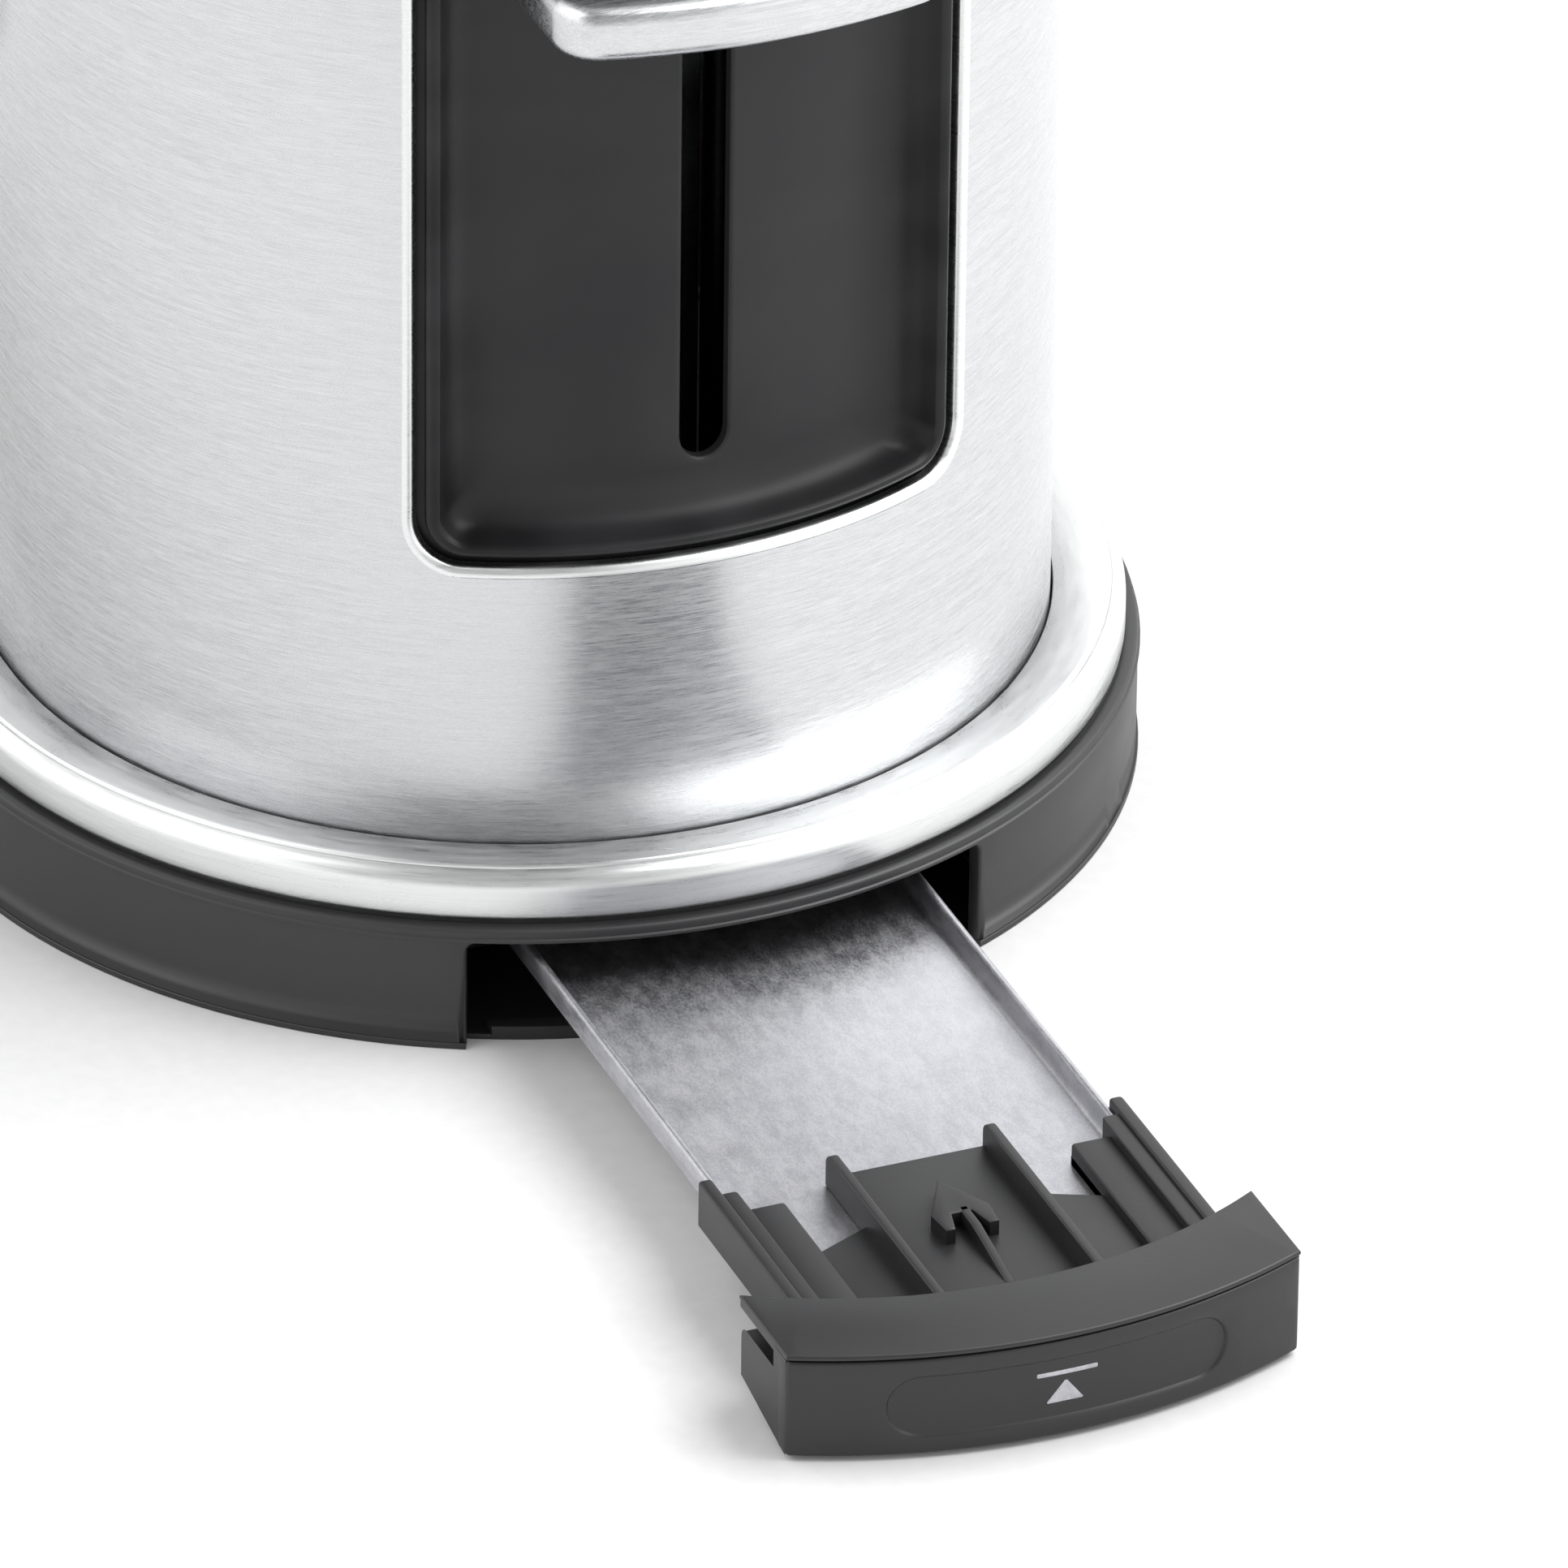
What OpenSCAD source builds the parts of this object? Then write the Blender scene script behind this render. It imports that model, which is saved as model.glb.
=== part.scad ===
// Two slice pop up toaster with a pull out crumb tray.
// The origin is the middle of the footprint on the table, +X points to the lever and
// crumb tray end, -Y to the side with the controls, and +Z is up. Millimetres.

/* [Overall] */
// Length of the base, from end to end
base_l = 320; // [300:1:400]
// Width of the base, which is also the diameter of its round ends
base_w = 185; // [176:1:230]
// Height from the table to the rim of the bread slots
total_h = 200; // [190:1:250]

/* [Base and ring] */
// Height of the black base skirt
skirt_h = 19.8; // [19.2:0.2:26]
// Thickness of the moulded base wall
base_wall = 2.6; // [2:0.1:3.4]
// Thickness of the moulded deck on top of the base
deck_t = 2; // [1.6:0.1:2.6]
// How far the steel ring stands in from the base
ring_inset = 2.3; // [1:0.1:4]
// Height of the steel ring
ring_h = 8.6; // [7:0.1:12]
// Radius of the rounded outer edge of the ring
ring_round = 3; // [2:0.1:4]
// How far the top of the ring falls towards the body
ring_fall = 1.5; // [0:0.1:3]
// Diameter of a rubber foot
foot_d = 16; // [12:1:20]

/* [Body] */
// How far the steel body stands in from the base
body_inset = 13.5; // [12:0.1:15]
// Thickness of the body's sheet steel
sheet_t = 0.8; // [0.6:0.1:1.2]
// Radius of the shoulder of the top cover
shoulder_r = 7.5; // [5:0.5:9]
// Height that the slot frames stand above the top cover
frame_rim = 0.8; // [0.5:0.1:1.5]

/* [Lever recess] */
// Width of the cut-out in the body
recess_w = 84; // [76:1:92]
// Height of the lower edge of the cut-out
recess_z0 = 72; // [64:1:76]
// Distance from the top of the cut-out to the top of the toaster
recess_top_gap = 16; // [13:1:22]
// Depth of the panel behind the body's surface
recess_depth = 8; // [6:0.5:10]
// Corner radius of the cut-out
recess_r = 7; // [4:0.5:10]
// Width of the black rim between the cut-out and the pocket
recess_rim = 7.2; // [6:0.1:9]
// Thickness of the moulded panel
panel_t = 2.2; // [1.8:0.1:3]
// Width of the vertical slot that the lever's arm runs in
guide_slot_w = 7.5; // [7:0.1:9]

/* [Lever and carriage] */
// Width of the lever knob
lever_w = 59; // [48:1:62]
// Thickness of the lever knob
lever_t = 8.1; // [7.5:0.1:10]
// How far the knob stands out in front of the body
lever_proud = 19; // [12:0.5:21]
// Height of the underside of the knob above the top of the pocket, downwards
lever_drop = 14.6; // [12:0.1:20]
// Travel of the lever and the bread racks
travel = 78; // [60:1:80]
// Height of the bread racks when the lever is down
rack_down_z = 52; // [50:1:60]
// Diameter of a guide rod
rod_d = 5; // [4:0.5:6]
// Distance between the two guide rods
rod_pitch = 32; // [31:1:36]
// Radial gap between a guide rod and its bush
rod_fit = 0.05; // [0.02:0.01:0.1]

/* [Bread slots] */
// Length of a bread slot
slot_l = 150; // [140:1:160]
// Width of a bread slot
slot_w = 36; // [32:1:38]
// Distance between the middles of the two bread slots
slot_pitch = 58; // [56:1:62]
// How far each bread guard moves in when the lever goes down
guard_move = 5; // [3:0.5:6]
// Diameter of the guard wires
wire_d = 2; // [1.6:0.1:2.4]
// Number of upright wires in a guard
guard_wires = 11; // [7:1:15]

/* [Crumb tray] */
// Width of the tray's front and of the opening it fills, less the gap
tray_w = 77.5; // [74:0.5:84]
// Height of the tray's front
tray_h = 16.4; // [15.4:0.1:16.6]
// Depth of the ledge on top of the tray's front
tray_ledge = 15.5; // [12:0.5:18]
// Width of the tray's pan
pan_w = 61; // [58:0.5:62]
// Depth of the pan inside
pan_depth = 4.1; // [4.1:0.1:4.4]
// Thickness of the pan's sheet steel
pan_t = 0.6; // [0.5:0.1:0.7]
// Height of the pan's floor above the table
pan_z = 10.3; // [10:0.1:10.5]
// How far the tray is pulled out
tray_out = 118.3; // [0:0.1:118.3]

/* [Controls] */
// Width of the control fascia
fascia_w = 56; // [50:1:60]
// Height of the control fascia
fascia_h = 80; // [76:1:90]
// Height of the middle of the fascia
fascia_z = 92; // [86:1:100]
// Distance of the fascia's middle from the middle of the toaster
fascia_x = 15; // [0:1:16]
// Diameter of the browning knob
knob_d = 28; // [24:1:32]
// Diameter of a push button
button_d = 11; // [9:0.5:12]
// Distance between two push buttons
button_pitch = 15; // [14.5:0.5:16]

/* [Hidden] */
$fn = 72;
eps = 1;

// Plan: two half circles about x = +-end_x, joined by straight sides
base_r = base_w / 2;
end_x = (base_l - base_w) / 2;
ring_r = base_r - ring_inset;
body_r = base_r - body_inset;
body_in_r = body_r - sheet_t;
panel_r = body_r - recess_depth;

// Heights
ring_z1 = skirt_h + ring_h;
body_z0 = skirt_h;
cover_z1 = total_h - frame_rim;
body_z1 = cover_z1 - shoulder_r;
part_gap = 0.3;
cover_t = 1.6;
recess_z1 = total_h - recess_top_gap;
pocket_w = recess_w - 2 * recess_rim;
pocket_z0 = recess_z0 + recess_rim;
pocket_z1 = recess_z1 - recess_rim + 0.7;
pocket_r = recess_r - 1;
panel_flange = 4;

// Lever and carriage
knob_z0 = pocket_z1 - lever_drop;
arm_t = 5;
arm_h = 6;
arm_z0 = knob_z0 + (lever_t - arm_h) / 2;
arm_slot_end = 3;
slot_z0 = arm_z0 - travel - arm_slot_end;
slot_z1 = arm_z0 + arm_h + arm_slot_end;
rack_z = rack_down_z + travel;
rack_t = 1.2;
rack_w = 12;
chassis_t = 1.2;
chassis_x = slot_l / 2 + 9;
chassis_half = slot_pitch / 2 + slot_w / 2 + 11;
flange_z0 = 30;
flange_z1 = body_z1 - 7.7;
flange_l = 34;
rod_x = chassis_x + 22;
slider_x = chassis_x + 14;
slider_t = 2;
slider_half = 20;
slider_z0 = rack_z - 6;
slider_z1 = arm_z0 + arm_h + 3;
bush_wall = 2;
bush_r = rod_d / 2 + rod_fit + bush_wall;
lug_z0 = slider_z1 - 24;
lug_h = 16;
spring_x = chassis_x + 8;
spring_r = 3.2;
spring_z0 = slider_z1 - 24;
armature_z = rack_z + 4.3;
armature_t = 3;
core_z1 = armature_z - travel - part_gap;
core_x = slider_x + slider_t + 2;
core_l = 12;
core_half = 10.5;
core_leg = 5;
switch_l = 12;
switch_y0 = chassis_half - 18;
switch_z = flange_z0 + 22;

// Bread slots, heaters and guards
guard_off = slot_w / 2 - 2.5;
guard_z0 = 46;
guard_z1 = flange_z1 - 8;
guard_half = slot_l / 2 - 5;
heater_y = slot_pitch / 2 + slot_w / 2 + 5;
heater_z0 = 42;
heater_z1 = flange_z1 - 6;
board_t = 1;
ribbon_t = 0.25;
ribbon_h = 1.4;
ribbon_count = 13;
reflector_y = chassis_half - 1;
reflector_t = 0.6;
chute_top_z = 38;
frame_wall = 1.2;
frame_fit = 0.2;
frame_h = 15;

// Base
deck_z = skirt_h - deck_t;
window_half_x = chassis_x + 2;
window_half_y = 31;
plate_z = 1;
plate_t = 0.8;
plate_fit = 0.4;
foot_x = end_x + 10.5;
foot_y = base_r - 34.5;
foot_h = 1;
stem_r = 3;
screw_r = 1.5;
boss_r = 3.5;
boss_places = [[end_x - 17.5, base_r - 17.5], [-end_x + 17.5, base_r - 17.5],
    [end_x - 17.5, -base_r + 17.5], [-end_x + 17.5, -base_r + 17.5],
    [-end_x - base_r + 25, 28], [-end_x - base_r + 25, -28]];
opening_gap = 1.4;
opening_half = tray_w / 2 + opening_gap;
lip_h = 2;
lip_back = 3.2;
lip_t = 2.7;
web_t = 0.6;
web_x = end_x + 55;
gland_z = 10.5;
gland_r = 6;
gland_bore = 3.6;
gland_in = 12;
gland_lip = 1.5;

// Crumb tray; tray_cx is the middle of the round end that its front follows
tray_cx = end_x + tray_out;
tray_z0 = 0.8;
tray_z1 = tray_z0 + tray_h;
tray_wall = 2.4;
tray_floor_z = lip_h + 0.4;
pan_floor = pan_z + pan_t;
pan_rim = pan_floor + pan_depth;
pan_half = pan_w / 2;
pan_x1 = tray_cx + base_r - 24;
pan_x0 = -chassis_x - 7 + tray_out;
deck_x0 = tray_cx + 35;
deck_top = pan_floor + 1.7;
rib_z = tray_z1 - 1;
rib_y = 12;
rib_t = 1.6;
arm_out = pan_half + 1.9;
arm_in = pan_half - 2.7;
cam_x = tray_cx + 45;
cam_z = deck_top + 2.4;
rail_x1 = end_x + 30;
rail_gap = 0.4;

// Tray latch
latch_x = end_x + 38.5;
latch_y = -7.5;
latch_l = 23;
latch_z = rib_z + 0.25;
latch_t = 0.8;
latch_pin_r = 1.2;
latch_pivot_r = 1.5;

// Controls, on the flat of the -Y side; the panel is always tall enough for its knob and keys
control_h = max(fascia_h, knob_d + button_d + 2 * button_pitch + 11);
side_y = -body_r;
fascia_t = 2.4;
fascia_proud = 1.2;
fascia_fit = 0.3;
fascia_back = side_y - fascia_proud + fascia_t;
flange_t = 1.4;
board_y = side_y + 10;
pcb_t = 1.6;
shaft_r = 3;
shaft_fit = 0.05;
knob_gap = 0.8;
knob_h = 10;
knob_z = fascia_z + control_h / 2 - knob_d / 2 - 5;
button_fit = 0.4;
button_proud = 2.2;
button_z = knob_z - knob_d / 2 - button_d / 2 - 2.5;
button_zs = [button_z, button_z - button_pitch, button_z - 2 * button_pitch];
lens_x = fascia_x + 16;

// ---- shapes that repeat ----

// Plan of the toaster at a distance r from its centre line
module stadium(r) {
    for (s = [-1, 1])
        translate([s * end_x, 0]) circle(r);
    square([2 * end_x, 2 * r], center = true);
}

// Flat plate with the toaster's plan
module slab(r, z0, z1) {
    translate([0, 0, z0]) linear_extrude(z1 - z0) stadium(r);
}

// Sweeps a profile, drawn as distance and height, round the plan
module around() {
    for (s = [-1, 1]) {
        translate([s * end_x, 0, 0]) rotate([0, 0, -90 * s]) rotate_extrude(angle = 180) children();
        rotate([0, 0, 90 - 90 * s]) translate([-end_x, 0, 0]) rotate([90, 0, 90])
            linear_extrude(2 * end_x) children();
    }
}

module rounded_rect(w, h, r) {
    for (sx = [-1, 1], sy = [-1, 1])
        translate([sx * (w / 2 - r), sy * (h / 2 - r)]) circle(r);
    square([w - 2 * r, h], center = true);
    square([w, h - 2 * r], center = true);
}

// Box given by its lowest and highest corners
module block(lo, hi) {
    translate(lo) cube(hi - lo);
}

// Part of a round wall about x = cx, facing +X
module arc_band(r_in, r_out, half_y, z0, z1, cx = end_x) {
    translate([cx, 0, z0]) intersection() {
        difference() {
            cylinder(r = r_out, h = z1 - z0);
            translate([0, 0, -eps]) cylinder(r = r_in, h = z1 - z0 + 2 * eps);
        }
        translate([0, -half_y, -eps]) cube([r_out + eps, 2 * half_y, z1 - z0 + 2 * eps]);
    }
}

// Rounded window that runs along X from the middle of the +X end outwards
module end_window(w, z0, z1, r) {
    translate([end_x, 0, (z0 + z1) / 2]) rotate([90, 0, 90])
        linear_extrude(base_r) rounded_rect(w, z1 - z0, r);
}

// Rounded window through the -Y side, in front of the fascia's middle
module side_window(w, h, r, y0, y1) {
    translate([fascia_x, y1, fascia_z]) rotate([90, 0, 0])
        linear_extrude(y1 - y0) rounded_rect(w, h, r);
}

// Round bar along -Y, from y0 outwards to y1
module side_pin(x, z, r, y0, y1) {
    translate([x, y0, z]) rotate([90, 0, 0]) cylinder(r = r, h = y0 - y1);
}

// Round wire from one point to another along X, Y or Z
module rod_x(x0, x1, y, z, r) {
    translate([x0, y, z]) rotate([0, 90, 0]) cylinder(r = r, h = x1 - x0);
}

// Coil spring about Z
coil_sides = 6;
coil_steps = 12;
function coil_point(i, j, r, wire_r, z0, rise) =
    let (a = 360 * i / coil_steps, b = 360 * j / coil_sides)
    [(r + wire_r * cos(b)) * cos(a), (r + wire_r * cos(b)) * sin(a), z0 + rise * i + wire_r * sin(b)];

module coil(r, wire_r, z0, z1, turns) {
    n = turns * coil_steps;
    rise = (z1 - z0) / n;
    side = [for (i = [0:n - 1], j = [0:coil_sides - 1])
        let (a = i * coil_sides + j, b = i * coil_sides + (j + 1) % coil_sides)
        each [[a, b, b + coil_sides], [a, b + coil_sides, a + coil_sides]]];
    first = [[for (j = [coil_sides - 1:-1:0]) j]];
    last = [[for (j = [0:coil_sides - 1]) n * coil_sides + j]];
    polyhedron(
        points = [for (i = [0:n], j = [0:coil_sides - 1]) coil_point(i, j, r, wire_r, z0, rise)],
        faces = concat(first, side, last));
}

// ---- base ----

module base_housing() {
    color("#3a3a3c") difference() {
        union() {
            difference() {
                slab(base_r, 0, skirt_h);
                slab(base_r - base_wall, -eps, deck_z);
            }
            for (p = boss_places)
                translate([p[0], p[1], plate_z + plate_t])
                    cylinder(r = boss_r, h = deck_z + 0.5 - plate_z - plate_t);
            arc_band(base_r - lip_back - lip_t, base_r - lip_back, opening_half + 1, 0, lip_h);
            // thin floor from the lip back to the bottom plate
            intersection() {
                slab(base_r - lip_back - 0.5, 0, web_t);
                block([web_x, -opening_half - 4, 0], [end_x + base_r, opening_half + 4, web_t]);
            }
            for (s = [-1, 1])
                intersection() {
                    arc_band(base_r - lip_back - lip_t, base_r - 1, opening_half + 6, 0, lip_h);
                    translate([end_x, s * (opening_half + 3) - 3, 0]) cube([base_r, 6, lip_h]);
                }
        }
        // window that crumbs fall through
        block([-window_half_x, -window_half_y, deck_z - eps], [window_half_x, window_half_y, skirt_h + eps]);
        // opening for the crumb tray
        difference() {
            block([end_x + 20, -opening_half, -eps],
                [end_x + base_r + eps, opening_half, tray_z1 + part_gap]);
            translate([end_x, 0, -2 * eps]) cylinder(r = base_r - base_wall, h = skirt_h);
        }
        for (p = boss_places)
            translate([p[0], p[1], 0]) cylinder(r = screw_r, h = 12);
        translate([-end_x - base_r - eps, 0, gland_z]) rotate([0, 90, 0]) cylinder(r = gland_r, h = 8);
        translate([-end_x - base_r + 22, 14, deck_z - eps]) cylinder(r = 6, h = deck_t + 2 * eps);
    }
}

module bottom_plate() {
    color("#3a3a3c") difference() {
        slab(base_r - base_wall - plate_fit, plate_z, plate_z + plate_t);
        block([end_x + base_r - 34, -opening_half - 7, 0],
            [end_x + base_r, opening_half + 7, plate_z + plate_t + eps]);
        for (sx = [-1, 1], sy = [-1, 1])
            translate([sx * foot_x, sy * foot_y, 0]) cylinder(r = stem_r + 0.05, h = 4);
        for (p = boss_places)
            translate([p[0], p[1], 0]) cylinder(r = screw_r + 0.2, h = 4);
    }
}

module rubber_feet() {
    color("#262627") for (sx = [-1, 1], sy = [-1, 1])
        translate([sx * foot_x, sy * foot_y, 0]) {
            cylinder(d = foot_d, h = foot_h);
            cylinder(r = stem_r, h = foot_h + plate_t + 1.5);
        }
}

module base_screws() {
    color("#c8c9cb") for (p = boss_places)
        translate([p[0], p[1], 0.2]) {
            cylinder(r = 3, h = plate_z - 0.2);
            cylinder(r = screw_r, h = 10);
        }
}

// Section of the ring, drawn smaller by inset for the hollow inside it
module ring_profile(inset) {
    r_in = body_r + part_gap + inset;
    foot = skirt_h - (inset > 0 ? eps : 0);
    translate([ring_r - ring_round, ring_z1 - ring_round]) circle(ring_round - inset);
    polygon([[r_in, foot], [ring_r - inset, foot], [ring_r - inset, ring_z1 - ring_round],
        [ring_r - ring_round, ring_z1 - inset], [r_in, ring_z1 - ring_fall - inset]]);
}

module base_ring() {
    color("#d9dadc") around() difference() {
        ring_profile(0);
        ring_profile(1);
    }
}

module cord_gland() {
    color("#2b2b2c") translate([-end_x - base_r, 0, gland_z]) rotate([0, 90, 0]) difference() {
        union() {
            translate([0, 0, -gland_lip]) cylinder(r = gland_r + 2.5, h = gland_lip);
            cylinder(r = gland_r - 0.1, h = gland_in);
            translate([0, 0, base_wall + 0.7]) cylinder(r = gland_r + 1, h = 2);
        }
        translate([0, 0, -gland_lip - eps]) cylinder(r = gland_bore, h = gland_in + gland_lip + 2 * eps);
    }
}

module terminal_block() {
    color("#e8e4d8") difference() {
        block([-end_x - base_r + 34, -12, skirt_h], [-end_x - base_r + 50, 12, skirt_h + 12]);
        for (y = [-7.5, 0, 7.5])
            translate([-end_x - base_r + 42, y, skirt_h + 5]) cylinder(r = 2.2, h = 12);
    }
}

// Lead swept along its points, as an eight sided tube
lead_sides = 8;
function lead_dir(p, i) =
    let (d = p[min(i + 1, len(p) - 1)] - p[max(i - 1, 0)]) d / norm(d);
function lead_up(p, i) = i == 0 ? [0, 0, 1] :
    let (u = lead_up(p, i - 1), d = lead_dir(p, i), v = u - (u * d) * d) v / norm(v);
function lead_point(p, i, j, r) =
    let (a = 360 * j / lead_sides, u = lead_up(p, i))
    p[i] + r * (cos(a) * u + sin(a) * cross(u, lead_dir(p, i)));

module lead(p, r) {
    n = len(p) - 1;
    side = [for (i = [0:n - 1], j = [0:lead_sides - 1])
        let (a = i * lead_sides + j, b = i * lead_sides + (j + 1) % lead_sides)
        each [[a, b, b + lead_sides], [a, b + lead_sides, a + lead_sides]]];
    first = [[for (j = [lead_sides - 1:-1:0]) j]];
    last = [[for (j = [0:lead_sides - 1]) n * lead_sides + j]];
    polyhedron(
        points = [for (i = [0:n], j = [0:lead_sides - 1]) lead_point(p, i, j, r)],
        faces = concat(first, side, last));
}

// The two leads from the terminal block, round the side of the chassis, to the switch
module mains_leads() {
    x0 = -end_x - base_r + 50;
    x1 = chassis_x + 18;
    wall_y = chassis_half + 4;
    z = skirt_h + 5;
    color("#8a5a3a") for (s = [0, 1])
        lead([[x0, 6 * s, z], [x0 + 6 - 3 * s, 6 * s, z], [-chassis_x - 8 - 3 * s, wall_y + 4 * s, z],
            [chassis_x + 5 + 3 * s, wall_y + 4 * s, z], [x1 + 3 * s, switch_y0 + 3 + 6 * s, z],
            [x1 + 3 * s, switch_y0 + 3 + 6 * s, switch_z + 10],
            [chassis_x + switch_l, switch_y0 + 3 + 6 * s, switch_z + 10]], 1.4);
}

// ---- body ----

module body_shell() {
    color("#d4d6d9") difference() {
        slab(body_r, body_z0, body_z1 - part_gap);
        slab(body_in_r, body_z0 - eps, body_z1 + eps);
        end_window(recess_w, recess_z0, recess_z1, recess_r);
        side_window(fascia_w, control_h, 5, side_y - eps, side_y + 5);
    }
}

module recess_panel() {
    z0 = recess_z0 - panel_flange;
    z1 = recess_z1 + panel_flange;
    color("#303032") difference() {
        arc_band(panel_r - panel_t, body_in_r - 0.1, recess_w / 2 + panel_flange, z0, z1);
        // pocket that the knob travels in
        intersection() {
            end_window(pocket_w, pocket_z0, pocket_z1, pocket_r);
            arc_band(panel_r, body_r + eps, recess_w, z0, z1);
        }
        // hollow behind the rim
        difference() {
            arc_band(panel_r - panel_t - eps, body_in_r - 0.1 - panel_t, recess_w, z0 - eps, z1 + eps);
            end_window(pocket_w + 2 * panel_t, pocket_z0 - panel_t, pocket_z1 + panel_t, pocket_r + panel_t);
        }
        end_window(guide_slot_w, slot_z0, slot_z1, guide_slot_w / 2 - 0.01);
    }
}

module panel_screws() {
    color("#c8c9cb") for (sy = [-1, 1], z = [recess_z0 - 1, recess_z1 + 1])
        intersection() {
            translate([end_x + 30, sy * (recess_w / 2 + 0.5), z]) rotate([0, 90, 0])
                cylinder(r = 1.2, h = 60);
            arc_band(body_in_r - 6, body_in_r - 2.3, recess_w, z - 3, z + 3);
        }
}

module cover_profile(inset) {
    translate([body_r - shoulder_r, body_z1]) intersection() {
        circle(shoulder_r - inset);
        square(shoulder_r);
    }
}

module top_cover() {
    color("#d4d6d9") difference() {
        union() {
            around() difference() {
                cover_profile(0);
                cover_profile(cover_t);
            }
            slab(body_r - shoulder_r, cover_z1 - cover_t, cover_z1);
            // skirt that drops inside the body, with a gap over the recess panel
            difference() {
                slab(body_in_r - 0.1, body_z1 - 5, body_z1 + 1);
                slab(body_in_r - 1, body_z1 - 6, body_z1 + 2);
                block([end_x, -recess_w / 2 - panel_flange - 0.5, body_z1 - 6],
                    [end_x + base_r, recess_w / 2 + panel_flange + 0.5, body_z1 - part_gap]);
            }
        }
        for (s = [-1, 1])
            translate([0, s * slot_pitch / 2, cover_z1 - 3]) linear_extrude(6)
                rounded_rect(slot_l, slot_w, 6);
    }
}

module slot_frame(s) {
    color("#2f2f31") translate([0, s * slot_pitch / 2, 0]) difference() {
        union() {
            translate([0, 0, cover_z1]) linear_extrude(frame_rim) rounded_rect(slot_l + 4, slot_w + 4, 8);
            translate([0, 0, cover_z1 - frame_h]) linear_extrude(frame_h + 0.2)
                rounded_rect(slot_l - 2 * frame_fit, slot_w - 2 * frame_fit, 6 - frame_fit);
        }
        translate([0, 0, cover_z1 - frame_h - eps]) linear_extrude(frame_h + 3)
            rounded_rect(slot_l - 2 * frame_fit - 2 * frame_wall,
                slot_w - 2 * frame_fit - 2 * frame_wall, 4.6);
    }
}

// ---- chassis and heaters ----

// Openings in a chassis plate for the racks and the guards' pins
module plate_slots(x) {
    rack_half = rack_w / 2 + 1.5;
    pin_z = wire_d / 2 + 0.6;
    pin_half = guard_move / 2 + wire_d / 2 + 0.6;
    for (s = [-1, 1]) {
        y = s * slot_pitch / 2;
        block([x - eps, y - rack_half, rack_down_z - 5], [x + chassis_t + eps, y + rack_half, rack_z + 5]);
        for (g = [-1, 1], z = [guard_z0, guard_z1]) {
            pin_y = y + g * (guard_off - guard_move / 2);
            block([x - eps, pin_y - pin_half, z - pin_z], [x + chassis_t + eps, pin_y + pin_half, z + pin_z]);
        }
    }
}

module chassis_front_plate() {
    color("#b4b7bb") difference() {
        union() {
            block([chassis_x, -chassis_half, skirt_h],
                [chassis_x + chassis_t, chassis_half, flange_z1 + chassis_t]);
            for (z = [flange_z0, flange_z1])
                block([chassis_x, -24, z], [chassis_x + flange_l, 24, z + chassis_t]);
            for (s = [-1, 1])
                block([chassis_x, s * (chassis_half - 8) - 8, skirt_h],
                    [chassis_x + 12, s * (chassis_half - 8) + 8, skirt_h + chassis_t]);
        }
        plate_slots(chassis_x);
        for (s = [-1, 1]) {
            translate([rod_x, s * rod_pitch / 2, flange_z0 - eps]) cylinder(d = rod_d, h = flange_z1);
            translate([chassis_x + 7, s * (chassis_half - 8), skirt_h - eps]) cylinder(r = 1.6, h = 4);
        }
    }
}

module chassis_rear_plate() {
    color("#b4b7bb") difference() {
        union() {
            block([-chassis_x - chassis_t, -chassis_half, skirt_h],
                [-chassis_x, chassis_half, flange_z1 + chassis_t]);
            for (s = [-1, 1])
                block([-chassis_x - 12, s * (chassis_half - 8) - 8, skirt_h],
                    [-chassis_x, s * (chassis_half - 8) + 8, skirt_h + chassis_t]);
        }
        plate_slots(-chassis_x - chassis_t);
        for (s = [-1, 1])
            translate([-chassis_x - 7, s * (chassis_half - 8), skirt_h - eps]) cylinder(r = 1.6, h = 4);
    }
}

module chassis_screws() {
    color("#c8c9cb") for (sx = [-1, 1], sy = [-1, 1])
        translate([sx * (chassis_x + 7), sy * (chassis_half - 8), skirt_h + chassis_t]) {
            cylinder(r = 3, h = 2);
            translate([0, 0, -chassis_t]) cylinder(r = 1.5, h = chassis_t);
        }
}

module crumb_chute() {
    t = 0.6;
    lo = window_half_y + 0.5;
    hi = reflector_y - 1;
    color("#b4b7bb") for (s = [0, 1])
        mirror([0, s, 0]) translate([-chassis_x + 0.2, 0, 0]) rotate([90, 0, 90])
            linear_extrude(2 * chassis_x - 0.4)
                polygon([[lo, skirt_h + 0.2], [hi, chute_top_z], [hi, chute_top_z + 3],
                    [hi - t, chute_top_z + 3], [hi - t, chute_top_z + t / 2], [lo - t, skirt_h + 0.2]]);
}

module reflector(s) {
    color("#c9ccd0") union() {
        block([-chassis_x, s * reflector_y - reflector_t / 2, chute_top_z + 2],
            [chassis_x, s * reflector_y + reflector_t / 2, flange_z1 - 2]);
        block([-chassis_x, s * (reflector_y - 2) - 2.3, flange_z1 - 2],
            [chassis_x, s * (reflector_y - 2) + 2.3, flange_z1 - 2 + reflector_t]);
    }
}

module heater_board(y) {
    color("#a79d8a") block([-chassis_x, y - board_t / 2, heater_z0], [chassis_x, y + board_t / 2, heater_z1]);
}

// Ribbons of resistance wire wound round a board
module heater_wire(y) {
    half = slot_l / 2 - 3;
    step = (heater_z1 - heater_z0 - 12) / (ribbon_count - 1);
    color("#77736c") for (i = [0:ribbon_count - 1], s = [-1, 1])
        block([-half, y + s * (board_t + ribbon_t) / 2 - ribbon_t / 2,
            heater_z0 + 6 + i * step - ribbon_h / 2],
            [half, y + s * (board_t + ribbon_t) / 2 + ribbon_t / 2, heater_z0 + 6 + i * step + ribbon_h / 2]);
}

// ---- carriage ----

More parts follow.
